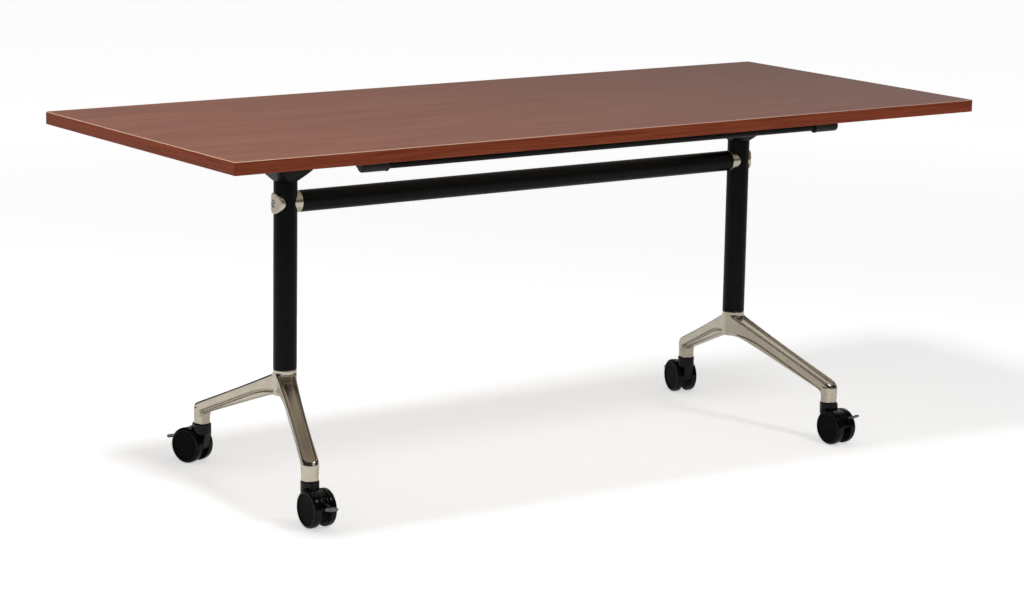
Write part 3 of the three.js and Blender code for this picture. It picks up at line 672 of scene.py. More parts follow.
@dataclass(frozen=True)
class Mottled:
    """A finish whose colour, gloss and relief vary without a direction.

    Attributes:
        title: common name of the material and how its surface was made.
        slot: the record's slot that it belongs to; not used.
        colour: the commoner tone.
        second: the tone it drifts towards.
        drift_mm: size of the drift in colour.
        grit_mm: size of the fine relief, with which the gloss changes.
        relief_mm: height of that relief.
        relief_strength: how strongly the relief shades.
        roughness: lowest and highest.
        metallic: one for a bare metal.
        specular: reflection level of a dielectric.
        drift_reach: values of the slow noise that give the first and the second tone.
    """

    title: str
    slot: Slot
    colour: str
    second: str
    drift_mm: float
    grit_mm: float
    relief_mm: float
    relief_strength: float
    roughness: tuple[float, float]
    metallic: float = 0.0
    specular: float = 0.5
    drift_reach: tuple[float, float] = (0.3, 0.7)

    def material(self) -> bpy.types.Material:
        """The finish as a material: slow noise for tone, fine noise for gloss and relief.

        Returns:
            The new material.
        """
        material = blank(self.title)
        tree = material.node_tree
        place = add(tree, "ShaderNodeTexCoord").outputs["Object"]
        drift_scale, grit_scale = per_metre((self.drift_mm, self.grit_mm))
        drift = add(
            tree,
            "ShaderNodeTexNoise",
            {"Vector": place, "Scale": drift_scale, "Detail": 3.0, "Roughness": 0.55},
        )
        grit = add(tree, "ShaderNodeTexNoise", {"Vector": place, "Scale": grit_scale, "Detail": 2.0})
        tone = ranged(tree, drift.outputs[0], self.drift_reach)
        relief = add(
            tree,
            "ShaderNodeBump",
            {"Height": grit.outputs[0], "Strength": self.relief_strength, "Distance": self.relief_mm * MM},
        )
        shaded(
            tree,
            {
                "Base Color": mixed(tree, tone, linear(self.colour), linear(self.second)),
                "Roughness": ranged(tree, grit.outputs[0], target=self.roughness),
                "Metallic": self.metallic,
                "Specular IOR Level": self.specular,
                "Normal": relief.outputs[0],
            },
        )
        return material


FINISHES: dict[Finish, WoodPrint | Mottled] = {
    # Melamine paper pressed on board: straight mahogany figure under a satin lacquer, which greys
    # towards the far edge, and a plain tan backing sheet below. Real pores are 0.3 mm wide and are
    # drawn three times as wide to show.
    Finish.LAMINATE: WoodPrint(
        title="mahogany melamine pressed satin",
        slot=Slot.LAMINATE,
        dark="733d2a",
        light="87533c",
        pore="5a2c1f",
        band_mm=(900.0, 60.0, 60.0),
        streak_mm=(240.0, 7.0, 7.0),
        pore_mm=(34.0, 1.0, 1.0),
        roughness=(0.36, 0.41),
        specular=0.2,
        other="e0d5c6",
        other_from=(732.0, 731.0),
    ),
    # The same decor extruded as an edge band: narrower streaks that run round the top, and a painted
    # highlight, a pale line along the upper arris.
    Finish.EDGE: WoodPrint(
        title="mahogany abs edge extruded and trimmed",
        slot=Slot.EDGE,
        dark="873a20",
        light="a25032",
        pore="662a17",
        band_mm=(500.0, 14.0, 14.0),
        streak_mm=(160.0, 3.0, 3.0),
        pore_mm=(26.0, 0.9, 0.9),
        roughness=(0.43, 0.48),
        specular=0.12,
        # painted highlight: the pale line along the upper arris
        other="cdab97",
        other_from=(11.2, 12.2),
        on_surface=True,
    ),
    # Polyester powder baked on steel: a fine orange peel of 1.6 mm that breaks up the highlight.
    Finish.POWDER_COAT: Mottled(
        title="black polyester powder baked on steel",
        slot=Slot.POWDER_COAT,
        colour="0a0a09",
        second="0e0e0d",
        drift_mm=60.0,
        grit_mm=1.6,
        relief_mm=0.04,
        relief_strength=0.2,
        roughness=(0.34, 0.42),
        specular=0.08,
    ),
    # Zinc casting, tumbled and plated: a warm silver with soft waves and a blurred reflection.
    Finish.NICKEL: Mottled(
        title="satin nickel plated on a zinc casting",
        slot=Slot.NICKEL,
        colour="b9b1a2",
        second="b0a898",
        drift_mm=45.0,
        grit_mm=7.0,
        relief_mm=0.03,
        relief_strength=0.05,
        roughness=(0.23, 0.29),
        metallic=1.0,
    ),
    # Bright zinc on turned or bent steel: cool grey with a cloudy passivated film.
    Finish.ZINC_STEEL: Mottled(
        title="zinc plated steel passivated clear",
        slot=Slot.ZINC_STEEL,
        colour="aeb1b2",
        second="9fa39f",
        drift_mm=9.0,
        grit_mm=1.2,
        relief_mm=0.02,
        relief_strength=0.15,
        roughness=(0.30, 0.42),
        metallic=1.0,
    ),
    # Polyamide moulded against a polished tool: black, with broad soft highlights on its curves.
    Finish.HOOD: Mottled(
        title="black polyamide moulded smooth",
        slot=Slot.NYLON,
        colour="080808",
        second="0d0d0d",
        drift_mm=25.0,
        grit_mm=1.1,
        relief_mm=0.02,
        relief_strength=0.05,
        roughness=(0.24, 0.30),
        specular=0.18,
    ),
    # The same moulded against a spark eroded tool: a dull black disc that mirrors almost nothing.
    Finish.WHEEL: Mottled(
        title="black polyamide moulded spark eroded",
        slot=Slot.NYLON,
        colour="0b0b0b",
        second="101010",
        drift_mm=18.0,
        grit_mm=1.2,
        relief_mm=0.03,
        relief_strength=0.2,
        roughness=(0.48, 0.58),
        specular=0.04,
    ),
    # Polyurethane cast round the wheel: a black tyre with small sharp highlights.
    Finish.TYRE: Mottled(
        title="black polyurethane cast glossy",
        slot=Slot.NYLON,
        colour="080808",
        second="0c0c0c",
        drift_mm=12.0,
        grit_mm=2.0,
        relief_mm=0.01,
        relief_strength=0.1,
        roughness=(0.16, 0.22),
        specular=0.14,
    ),
    # Polypropylene moulded with a hand grip texture: charcoal, softer than the powder coat beside it.
    Finish.GRIP: Mottled(
        title="charcoal polypropylene moulded textured",
        slot=Slot.MOULDING,
        colour="171716",
        second="201f1e",
        drift_mm=20.0,
        grit_mm=0.9,
        relief_mm=0.04,
        relief_strength=0.2,
        roughness=(0.36, 0.46),
        specular=0.16,
    ),
    # The same in mid grey on the pedal's upper face: its paleness is a painted reflection of the bright
    # room, with a cloudy mottle.
    Finish.PEDAL: Mottled(
        title="grey polypropylene moulded and scuffed",
        slot=Slot.MOULDING,
        colour="807f7d",
        second="979694",
        drift_mm=7.0,
        grit_mm=0.9,
        relief_mm=0.04,
        relief_strength=0.2,
        roughness=(0.36, 0.46),
        specular=0.4,
    ),
}


def box_mm(node: str) -> tuple[np.ndarray, np.ndarray]:
    """Lowest and highest corner of a CAD node.

    Args:
        node: the node's name.

    Returns:
        Both corners in millimetres.
    """
    low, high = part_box(node)
    return np.array(low) / MM, np.array(high) / MM


def box_centre(node: str) -> np.ndarray:
    """Middle of a CAD node's box in millimetres."""
    low, high = box_mm(node)
    return (low + high) / 2


@dataclass
class Workshop:
    """Makes finished pieces out of skins and of CAD nodes.

    Attributes:
        nodes: the frame's CAD objects by name.
        joints: the record's joints by name.
        materials: one material for each finish.
    """

    nodes: dict[str, bpy.types.Object]
    joints: dict[str, dict]
    materials: dict[Finish, bpy.types.Material] = field(default_factory=dict)

    def __post_init__(self) -> None:
        """Mixes the materials."""
        self.materials = {finish: surface.material() for finish, surface in FINISHES.items()}

    def joint_place(self, name: str) -> np.ndarray:
        """Where a joint is, in millimetres."""
        return np.array(self.joints[name]["pos_m"]) / MM

    def piece(
        self,
        name: str,
        skin: Skin,
        body: str,
        finish: Finish,
        stands_for: Sequence[str] = (),
        crisp: bool = True,
    ) -> bpy.types.Object:
        """Makes a piece that rides a body.

        Args:
            name: the piece's name.
            skin: its surface.
            body: the body it moves with.
            finish: its surface.
            stands_for: CAD nodes that it replaces.
            crisp: edges sharper than the limit are shaded as edges.

        Returns:
            The new object.
        """
        mesh = bpy.data.meshes.new(name)
        mesh.from_pydata(skin.points * MM, [], skin.quads.tolist() + [cap.tolist() for cap in skin.caps])
        if skin.uv is not None:
            layer = mesh.uv_layers.new(name="surface")
            layer.data.foreach_set("uv", skin.uv.astype(np.float32).ravel())
        mesh.shade_smooth()
        if crisp:
            mesh.set_sharp_from_angle(angle=SHARP_ANGLE)
        return self.finished(bpy.data.objects.new(name, mesh), body, finish, stands_for)

    def finished(
        self, piece: bpy.types.Object, body: str, finish: Finish, stands_for: Sequence[str]
    ) -> bpy.types.Object:
        """Dresses an object and hands it to the frame.

        Args:
            piece: the object, at the origin.
            body: the body it moves with.
            finish: its surface.
            stands_for: CAD nodes that it replaces.

        Returns:
            The same object.
        """
        bpy.context.scene.collection.objects.link(piece)
        piece.data.materials.clear()
        piece.data.materials.append(self.materials[finish])
        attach(piece, body)
        if stands_for:
            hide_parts(*stands_for)
        log.info("%s: %d faces, rides %s", piece.name, len(piece.data.polygons), body)
        return piece

    def dress(self, node: str, finish: Finish) -> None:
        """Gives a CAD node that stays in view its finish.

        Args:
            node: the node's name.
            finish: its surface.
        """
        mesh = self.nodes[node].data
        mesh.materials.clear()
        mesh.materials.append(self.materials[finish])
        log.info("%s: kept from the frame", node)

    def eased_copy(self, node: str, body: str, finish: Finish, ease: float) -> bpy.types.Object:
        """A copy of a sheet metal node with its cut edges broken.

        Args:
            node: the node, which the copy replaces.
            body: the body it moves with.
            finish: its surface.
            ease: width of the broken edges.

        Returns:
            The new object.
        """
        mesh = self.nodes[node].data.copy()
        mesh.name = f"{node}_eased"
        build = bmesh.new()
        build.from_mesh(mesh)
        bmesh.ops.remove_doubles(build, verts=build.verts, dist=SAME_PLACE * MM)
        bmesh.ops.dissolve_limit(build, angle_limit=FLAT_ANGLE, verts=build.verts, edges=build.edges)
        build.to_mesh(mesh)
        build.free()
        piece = bpy.data.objects.new(f"{node}_eased", mesh)
        bevel = piece.modifiers.new("broken edges", "BEVEL")
        bevel.width = ease * MM
        bevel.segments = 2
        bevel.limit_method = "ANGLE"
        bevel.angle_limit = CUT_ANGLE
        return self.finished(piece, body, finish, [node])


@dataclass
class TableTop:
    """Panel, edge band, and the brackets and screws under it.

    The screws' dome is given by its corners, as shares of radius and rise with their rounding. The
    screws stand in pairs, each place giving the distance to both sides of the column and the depth.
    """

    corner_radius: float = 5.0
    band: float = 2.0
    arris_above: float = 1.8
    arris_below: float = 0.8
    corner_steps: int = 10
    bracket_ease: float = 0.7
    head_gap: float = 0.3  # between a flip head and the bracket's plate
    screw_radius: float = 4.4
    screw_rise: float = 2.2
    screw_core: float = 0.4  # where the flat middle of its faces begins
    screw_dome: tuple[tuple[float, float, float], ...] = ((0.7, 0.95, 1.0), (1.0, 0.4, 0.6))
    recess_radius: float = 1.6
    recess_depth: float = 1.0
    recess_ease: float = 0.2
    screw_places: tuple[tuple[float, float], ...] = (
        (36.0, -156.0),
        (36.0, -112.0),
        (36.0, -62.0),
        (47.8, 52.0),
    )

    def edge_band(self) -> Skin:
        """Band section carried round the top's outline.

        The outline is a rectangle with rounded corners; each of its points has an outward normal, and
        point = outline + out * normal + rise * up. The UV map is the length along the outline and the rise.

        Returns:
            The closed band.
        """
        low, high = box_mm("edge_band")
        middle, half = (low + high) / 2, (high - low) / 2
        angle = np.linspace(0, np.pi / 2, self.corner_steps + 1)
        starts = np.arange(4) * np.pi / 2
        turn = (starts[:, None] + angle).ravel()
        normal = np.stack([np.cos(turn), np.sin(turn), np.zeros_like(turn)], -1)
        quadrant = np.sign(np.stack([np.cos(starts + np.pi / 4), np.sin(starts + np.pi / 4)], -1))
        centre = np.repeat(quadrant * (half[:2] - self.corner_radius), self.corner_steps + 1, axis=0)
        outline = np.concatenate([centre, np.zeros((len(centre), 1))], 1) + normal * self.corner_radius
        section = eased(
            [
                (-self.band, 0.0, 0),
                (-self.band, half[2], 0),
                (0.0, half[2], self.arris_above),
                (0.0, -half[2], self.arris_below),
                (-self.band, -half[2], 0),
                (-self.band, 0.0, 0),
            ],
            steps=4,
        )[:-1]
        rings = outline[:, None] + section[None, :, :1] * normal[:, None] + section[None, :, 1:] * UP
        skin = lofted(rings + middle, ends_meet=True)
        sides = np.linalg.norm(np.diff(outline, axis=0, append=outline[:1]), axis=1)
        places = np.stack(np.broadcast_arrays(np.cumsum(sides)[:, None] - sides[:, None], section[:, 1]), -1)
        uv = places.reshape(-1, 2)[skin.quads]
        lapped = uv[..., 0] < uv[..., 0].max(1, keepdims=True) - sides.sum() / 2
        uv[..., 0] += sides.sum() * lapped
        return Skin(skin.points, skin.quads, [], uv * MM)

    def screw(self, centre: np.ndarray) -> Skin:
        """Pan head of a screw under the plate: a domed disc with a round driver recess.

        Args:
            centre: where its axis meets the plate.

        Returns:
            The closed head.
        """
        radius, rise = self.screw_radius, self.screw_rise
        floor = rise - self.recess_depth
        profile = eased(
            [
                (self.screw_core, floor, 0),
                (self.recess_radius, floor, 0),
                (self.recess_radius, rise, self.recess_ease),
                *((radius * out, rise * up, ease) for out, up, ease in self.screw_dome),
                (radius, 0.0, 0),
                (self.screw_core, 0.0, 0),
            ],
            steps=3,
        )
        return turned(profile, centre, -UP, SCREW_ROUND)

    def build(self, workshop: Workshop) -> None:
        """Builds and dresses the top.

        Args:
            workshop: makes the pieces.
        """
        workshop.dress("tabletop_panel", Finish.LAMINATE)
        workshop.piece("edge_band_eased", self.edge_band(), Body.TOP.value, Finish.EDGE, ["edge_band"])
        for side in Side:
            bracket = f"{side.word}_top_bracket"
            workshop.eased_copy(bracket, Body.TOP.value, Finish.POWDER_COAT, self.bracket_ease)
            axis_x = box_centre(f"{side.word}_column")[0]
            plate_low = box_mm(f"{side.word}_flip_head")[1][2] + self.head_gap
            places = [(axis_x + sign * x, y, plate_low) for x, y in self.screw_places for sign in (-1, 1)]
            screws = reduce(Skin.joined, (self.screw(np.array(place)) for place in places))
            workshop.piece(f"{side.word}_bracket_screws", screws, Body.TOP.value, Finish.ZINC_STEEL)


@dataclass
class Foot:
    """Cast foot in its own frame: hub on the Z axis, outward along +X, the arms mirrored in Y."""

    hub_radius: float = 24.0
    hub_top: float = 249.5
    hub_bottom: float = 195.5
    hub_ease: float = 2.0
    arm_top_at_hub: float = 236.5
    arm_top_at_socket: float = 133.0
    socket_reach: float = 262.0
    socket_splay: float = 68.0
    socket_radius: float = 17.0
    socket_bottom: float = 87.0
    socket_ease: float = 1.2
    hub_half: float = 21.0
    waist_half: float = 16.0
    beam_depth: float = 24.5
    beam_ease: float = 6.0
    root_depth: float = 12.0
    root_length: float = 70.0
    belly_ease: float = 6.0
    elbow_ease: float = 9.0
    keel_half: float = 12.5
    keel_ease: float = 4.5
    keel_at_socket: float = 104.5
    keel_fillet: float = 10.0
    arch_start: float = 24.0
    arch_softness: float = 20.0
    channel_depth: float = 6.0
    channel_hub_half: float = 16.0
    channel_waist_half: float = 13.6
    channel_end_half: float = 12.6
    channel_past_socket: float = 11.5
    channel_start: float = 18.0
    channel_roof: float = 239.0
    channel_ease: float = 4.0
    channel_draft: float = 13.0  # degrees that its walls lean
    rim_ease: float = 1.2
    crease: float = 1.6
    groove_radius: float = 2.3  # cast line between beam and keel
    groove_ease: float = 0.5
    groove_stop: float = 1.0  # short of the socket
    hub_fillet: float = 5.0
    step: float = 1.25
    toe_room: float = 12.0  # margin of the grid beyond the sockets

    @property
    def arm_length(self) -> float:
        """Hub axis to socket axis."""
        return math.hypot(self.socket_reach, self.socket_splay)

    def half_width(self, along: np.ndarray, halves: tuple[float, float, float], end: float) -> np.ndarray:
        """Half width along an arm, the quadratic curve through its root, middle and end.

        Args:
            along: distance from the hub axis.
            halves: half width at the root, the middle and the end.
            end: where the curve ends.

        Returns:
            Half widths, constant past the end.
        """
        share = np.clip(along / end, 0, 1)
        root, waist, tip = halves
        control = 2 * waist - (root + tip) / 2
        return (1 - share) ** 2 * root + 2 * share * (1 - share) * control + share**2 * tip

    def field(self, point: np.ndarray) -> np.ndarray:
        """The casting: beam over keel, bent into the socket, channel carved out, hub welded on.

        Args:
            point: places in the foot's frame.

        Returns:
            The field, negative inside.
        """
        x, y, z = np.moveaxis(point, -1, 0)
        y = np.abs(y)
        length, radius = self.arm_length, self.socket_radius
        cosine, sine = self.socket_splay / length, self.socket_reach / length
        along, across = x * cosine + y * sine, np.abs(y * cosine - x * sine)
        slope = (self.arm_top_at_hub - self.arm_top_at_socket) / (length - self.hub_radius)
        lean = 1 / math.hypot(1, slope)
        top = self.arm_top_at_hub - slope * (along - self.hub_radius)
        past = np.hypot(along - length, across) - radius
        halves = (self.hub_half, self.waist_half, radius)
        plan = np.where(along > length, past, across - self.half_width(along, halves, length))
        bend = np.clip((along - length + radius) / (2 * radius), 0, 1)
        ease = self.beam_ease + (self.elbow_ease - self.beam_ease) * bend**2 * (3 - 2 * bend)
        over = meet((z - top) * lean, plan, ease=ease)
        root = np.clip(1 - (along - self.hub_radius) / self.root_length, 0, 1) ** 2
        under = (top - self.beam_depth - self.root_depth * root - z) * lean
        beam = meet(over, np.minimum(under, past), -along, ease=self.belly_ease)
        arch = along - self.arch_start
        fall = (self.hub_bottom - self.keel_at_socket) / (length - self.arch_start)
        keel_low = self.hub_bottom - fall * (arch + np.sqrt(arch**2 + self.arch_softness**2)) / 2
        keel_top = top - self.beam_depth / 2
        thick = meet(across - self.keel_half, keel_low - z, z - keel_top, ease=self.keel_ease)
        keel = meet(thick, along - length, -along)
        socket_top = self.arm_top_at_socket - self.beam_depth / 2
        socket = meet(past, self.socket_bottom - z, z - socket_top, ease=self.socket_ease)
        line = np.hypot(under, across - self.keel_half) - self.groove_radius
        groove = np.maximum(line, self.groove_stop - past)
        whole = welded(beam, welded(keel, socket, self.keel_fillet), self.crease)
        arm = carved(whole, groove, self.groove_ease)
        end = length + self.channel_past_socket - self.channel_end_half
        widths = (self.channel_hub_half, self.channel_waist_half, self.channel_end_half)
        rounded_end = np.hypot(along - end, across) - self.channel_end_half
        trough_plan = np.where(along > end, rounded_end, across - self.half_width(along, widths, end))
        draft = math.radians(self.channel_draft)
        wall = trough_plan * math.cos(draft) + (top - z) * lean * math.sin(draft)
        floor = (top - self.channel_depth - z) * lean
        start, roof = self.channel_start - along, z - self.channel_roof
        trough = meet(wall, floor, start, roof, ease=self.channel_ease)
        barrel = np.hypot(x, y) - self.hub_radius
        hub = meet(barrel, self.hub_bottom - z, z - self.hub_top, ease=self.hub_ease)
        return carved(welded(arm, hub, self.hub_fillet), trough, self.rim_ease)

    def skin(self) -> Skin:
        """The casting's surface in its own frame.

        Returns:
            The closed casting.
        """
        reach = self.arm_length + self.socket_radius + ROOM
        low = [-self.hub_radius - ROOM, -reach, self.socket_bottom - ROOM]
        high = [self.socket_splay + self.socket_radius + self.toe_room, reach, self.hub_top + ROOM]
        return cast(self.field, low, high, self.step)


@dataclass
class Crossbar:
    """Round tube between the two legs."""

    radius: float = 22.0
    end_ease: float = 0.8

    def build(self, workshop: Workshop) -> None:
        """Builds and dresses the tube.

        Args:
            workshop: makes the pieces.
        """
        low, high = box_mm("crossbar")
        reach = (high[0] - low[0]) / 2
        bar = rod((low + high) / 2, ALONG_X, self.radius, (-reach, reach), self.end_ease)
        workshop.piece("crossbar_finished", bar, Body.BASE.value, Finish.POWDER_COAT, ["crossbar"])


@dataclass
class Leg:
    """One end of the base: column, head with its pin, saddle, cap, tie bolt and foot.

    The bolt's dome is given by its corners, as shares of the head's radius and rise with their rounding.
    """

    side: Side
    column_radius: float = 24.0
    tube_ease: float = 0.8
    bar_radius: float = 22.0
    bolt_radius: float = 5.0
    clearance: float = 0.15
    saddle_ease: float = 1.2
    rim_start: float = 1.5  # eases before a sleeve's end, where its rim begins
    rim_steps: int = 8
    scribed_rings: int = 8
    wall_rings: int = 4
    cap_radius: float = 21.5
    cap_ease: float = 2.6
    cap_room: float = 2.0  # margin of the grid inside the column
    seat_radius: float = 7.8
    seat_ease: float = 0.5
    cap_step: float = 0.7
    head_corner: float = 10.0
    head_ease: float = 1.6
    flare: float = 24.0
    flare_bow: float = 0.12  # how far its profile bulges from straight
    flare_lean: float = 0.78  # about the cosine of its wall's lean
    notch_half: float = 6.3
    notch_low: float = 694.7
    notch_back: float = -30.0
    notch_ease: float = 1.0
    pin_core: float = 2.0
    pin_radius: float = 6.0
    pin_ease: float = 0.8
    pin_head_radius: float = 9.0
    pin_head: float = 3.0
    pin_head_ease: float = 0.4
    button_radius: float = 7.5
    button_rise: float = 2.6
    button_dome: tuple[tuple[float, float, float], ...] = (
        (0.72, 0.0, 3.0),
        (1.0, 0.62, 0.8),
        (1.0, 1.0, 0.2),
    )
    bolt_end_ease: float = 0.6
    hex_half: float = 2.5
    hex_depth: float = 2.0
    hex_lip: float = 0.15  # depth of its broken edge
    hex_rim: float = 1.25  # radius of that edge over half the width
    head_step: float = 1.6

    @property
    def axis(self) -> np.ndarray:
        """A point on the column's axis, on the floor."""
        centre = box_centre(self.node("column"))
        return np.array([centre[0], centre[1], 0.0])

    def node(self, name: str) -> str:
        """A node's full name on this side."""
        return f"{self.side.word}_{name}"

    def reach(self, name: str) -> float:
        """How far a node reaches from the column's axis along X."""
        return float(max(abs(end[0] - self.axis[0]) for end in box_mm(self.node(name))))

    def column(self) -> Skin:
        """Round tube from the foot's hub to the head."""
        low, high = box_mm(self.node("column"))
        return rod(self.axis, UP, self.column_radius, (low[2], high[2]), self.tube_ease)

    def fish_mouth(self, direction: float, reach: float, ease: float) -> Skin:
        """Short sleeve between the column and a flat end, scribed to the column.

        At radius r and angle t round the bar's axis the scribed face is at the distance from the column's
        axis that solves distance^2 + (r cos t)^2 = column radius^2, and the outer wall runs from it to the
        eased flat end.

        Args:
            direction: +1 towards +X, -1 towards -X.
            reach: distance from the column's axis to the flat end.
            ease: rounding of the end's rim.

        Returns:
            The closed sleeve.
        """
        centre = box_centre(self.node("tie_bolt"))
        middle = np.array([self.axis[0], centre[1], centre[2]])
        angle = right_round(ROUND)
        bore, outer = self.bolt_radius + self.clearance, self.bar_radius
        scribed = np.linspace(bore, outer, self.scribed_rings)
        start = reach - ease * self.rim_start
        rim = eased([(outer, start, 0), (outer, reach, ease), (bore, reach, 0)], steps=self.rim_steps)
        column = self.column_radius + self.clearance
        mouth = np.sqrt(column**2 - (scribed[:, None] * np.cos(angle)) ** 2)
        share = np.linspace(0, 1, self.wall_rings + 2)[1:-1, None]
        wall = share * (start - mouth[-1]) + mouth[-1]
        outside = np.concatenate([wall, np.repeat(rim[:, 1:], ROUND, axis=1)])
        along = np.concatenate([mouth, np.maximum(outside, np.minimum(mouth[-1], reach))])
        radius = np.concatenate([scribed, np.full(len(wall), outer), rim[:, 0]])
        across = radius[:, None] * np.cos(angle)
        rise = np.broadcast_to(radius[:, None] * np.sin(angle), along.shape)
        rings = middle + np.stack([direction * along, across, rise], axis=-1)
        return lofted(rings, ends_meet=True)

    def cap_field(self, point: np.ndarray, reach: float, seat: float) -> np.ndarray:
        """Outer cap: a round plate curved round the column, with a seat for the bolt's head.

        Args:
            point: places with x outward from the column's axis and y, z from the bolt's axis.
            reach: distance from the column's axis to the plate's outer face.
            seat: distance from the column's axis to the seat.

        Returns:
            The field, negative inside.
        """
        x, y, z = np.moveaxis(point, -1, 0)
        from_column, from_bolt = np.hypot(x, y), np.hypot(y, z)
        plate = meet(from_column - reach, from_bolt - self.cap_radius, ease=self.cap_ease)
        scribed = np.maximum(plate, self.column_radius + self.clearance - from_column)
        recess = np.maximum(from_bolt - self.seat_radius, seat - x)
        bored = np.minimum(recess, from_bolt - self.bolt_radius - self.clearance)
        return np.maximum(carved(scribed, bored, self.seat_ease), -x)

    def cap(self) -> Skin:
        """The outer cap's surface, cast in its own frame and carried to its side.

        Returns:
            The closed cap.
        """
        bolt_low, bolt_high = box_mm(self.node("tie_bolt"))
        centre, reach = box_centre(self.node("outer_cap")), self.reach("outer_cap")
        tip = max(abs(bolt_low[0]), abs(bolt_high[0])) - abs(self.axis[0])
        seat = tip - self.button_rise
        edge = self.cap_radius + SMALL_ROOM
        start, stop = [-self.cap_room, -edge, -edge], [reach + SMALL_ROOM, edge, edge]
        skin = cast(lambda point: self.cap_field(point, reach, seat), start, stop, self.cap_step)
        axes = np.diag([float(self.side.value), 1.0, 1.0])
        return skin.moved(axes, np.array([self.axis[0], centre[1], centre[2]]))

    def tie_bolt(self) -> Skin:
        """Button head bolt with a hexagonal socket.

        The socket's radius at angle t is half its width over cos(t modulo 60 degrees, less 30).

        Returns:
            The closed bolt.
        """
        low, high = box_mm(self.node("tie_bolt"))
        middle = (low + high) / 2
        outward = self.side.value
        tip = high[0] if outward > 0 else low[0]
        length = high[0] - low[0]
        radius, rise = self.button_radius, self.button_rise
        angle = right_round(BOLT_ROUND)
        socket = self.hex_half / np.cos(np.mod(angle, np.pi / 3) - np.pi / 6)
        dome = eased(
            [
                (self.hex_half * self.hex_rim, 0.0, 0),
                *((radius * out, -rise * down, ease) for out, down, ease in self.button_dome),
                (self.bolt_radius, -rise, 0),
                (self.bolt_radius, -length, self.bolt_end_ease),
                (self.bolt_radius / 2, -length, 0),
            ]
        )
        dome = np.repeat(dome[:, None, :], len(angle), axis=1)
        floor = np.stack([socket, np.full_like(socket, -self.hex_depth)], -1)
        lip = np.stack([socket, np.full_like(socket, -self.hex_lip)], -1)
        profile = np.concatenate([floor[None], lip[None], dome])
        return turned(profile, np.array([tip, middle[1], middle[2]]), ALONG_X * outward, len(angle))

    def head_field(self, point: np.ndarray) -> np.ndarray:
        """Flip head: a rounded box that draws in to the column, with an arc about the pivot behind.

        Args:
            point: places relative to the column's axis, z from the floor.

        Returns:
            The field, negative inside.
        """
        low, high = box_mm(self.node("flip_head"))
        base, half = self.head_base, (high - low)[:2] / 2
        pivot = box_centre(self.node("pivot_pin"))
        x, y, z = np.moveaxis(point, -1, 0)
        share = np.clip((z - base) / self.flare, 0, 1)
        spread = share * (1 + self.flare_bow - self.flare_bow * share)
        corner = self.column_radius + (self.head_corner - self.column_radius) * spread
        inner = [self.column_radius + (half[k] - self.column_radius) * spread - corner for k in (0, 1)]
        beyond = np.stack([np.abs(x) - inner[0], np.abs(y) - inner[1]])
        plan = np.linalg.norm(np.maximum(beyond, 0), axis=0) + np.minimum(beyond.max(0), 0) - corner
        tilt = np.where(share < 1, self.flare_lean, 1.0)
        round_back = np.hypot(y - pivot[1], z - pivot[2]) - (high[2] - pivot[2])
        behind = np.where((y > pivot[1]) & (z > pivot[2]), round_back, FAR_INSIDE)
        body = meet(plan * tilt, base - z, np.maximum(z - high[2], behind), ease=self.head_ease)
        notch = meet(np.abs(x) - self.notch_half, y - self.notch_back, self.notch_low - z)
        return carved(body, notch, self.notch_ease)

    @property
    def head_base(self) -> float:
        """Height at which the head leaves the column."""
        return float(box_mm(self.node("column"))[1][2])

    def head(self) -> Skin:
        """The flip head's surface, cast about the column's axis and carried there.

        Returns:
            The closed head.
        """
        low, high = box_mm(self.node("flip_head"))
        start = np.array([low[0] - self.axis[0], low[1], self.head_base]) - ROOM
        stop = np.array([high[0] - self.axis[0], high[1], high[2]]) + ROOM
        return cast(self.head_field, start, stop, self.head_step).moved(np.eye(3), self.axis)

    def pivot_pin(self) -> Skin:
        """Pin across the flip head, turned with a head of its own at its outer end.

        Returns:
            The closed pin.
        """
        low, high = box_mm(self.node("pivot_pin"))
        centre = (low + high) / 2
        reach = (high[0] - low[0]) / 2
        head, shank = self.pin_head_radius, self.pin_radius
        profile = eased(
            [
                (self.pin_core, -reach, 0),
                (head, -reach, self.pin_ease),
                (head, -reach + self.pin_head, self.pin_head_ease),
                (shank, -reach + self.pin_head, 0),
                (shank, reach, self.pin_ease),
                (self.pin_core, reach, 0),
            ]
        )
        inward = -self.side.value
        return turned(profile, centre, ALONG_X * inward, SMALL_ROUND)

    def build(self, workshop: Workshop, foot: Skin) -> None:
        """Builds and dresses one end of the base.

        Args:
            workshop: makes the pieces.
            foot: the casting in its own frame.
        """
        base = Body.BASE.value
        saddle = self.fish_mouth(-self.side.value, self.reach("inner_saddle"), self.saddle_ease)
        front = workshop.joint_place(f"front_{self.side.word}_swivel")
        rear = workshop.joint_place(f"rear_{self.side.word}_swivel")
        ahead = (rear - front) / np.linalg.norm(rear - front)
        out = (rear + front)[:2] / 2 - self.axis[:2]
        out = np.append(out / np.linalg.norm(out), 0.0)
        planted = foot.moved(np.stack([out, ahead, UP], axis=1), self.axis)
        made = (
            ("column", self.column(), Finish.POWDER_COAT, True),
            ("inner_saddle", saddle, Finish.NICKEL, True),
            ("outer_cap", self.cap(), Finish.NICKEL, False),
            ("tie_bolt", self.tie_bolt(), Finish.ZINC_STEEL, True),
            ("flip_head", self.head(), Finish.POWDER_COAT, False),
            ("pivot_pin", self.pivot_pin(), Finish.ZINC_STEEL, True),
            ("foot", planted, Finish.NICKEL, False),
        )
        for name, skin, finish, crisp in made:
            node = self.node(name)
            workshop.piece(f"{node}_finished", skin, base, finish, [node], crisp)
        workshop.dress(self.node("crossbar_plug"), Finish.ZINC_STEEL)


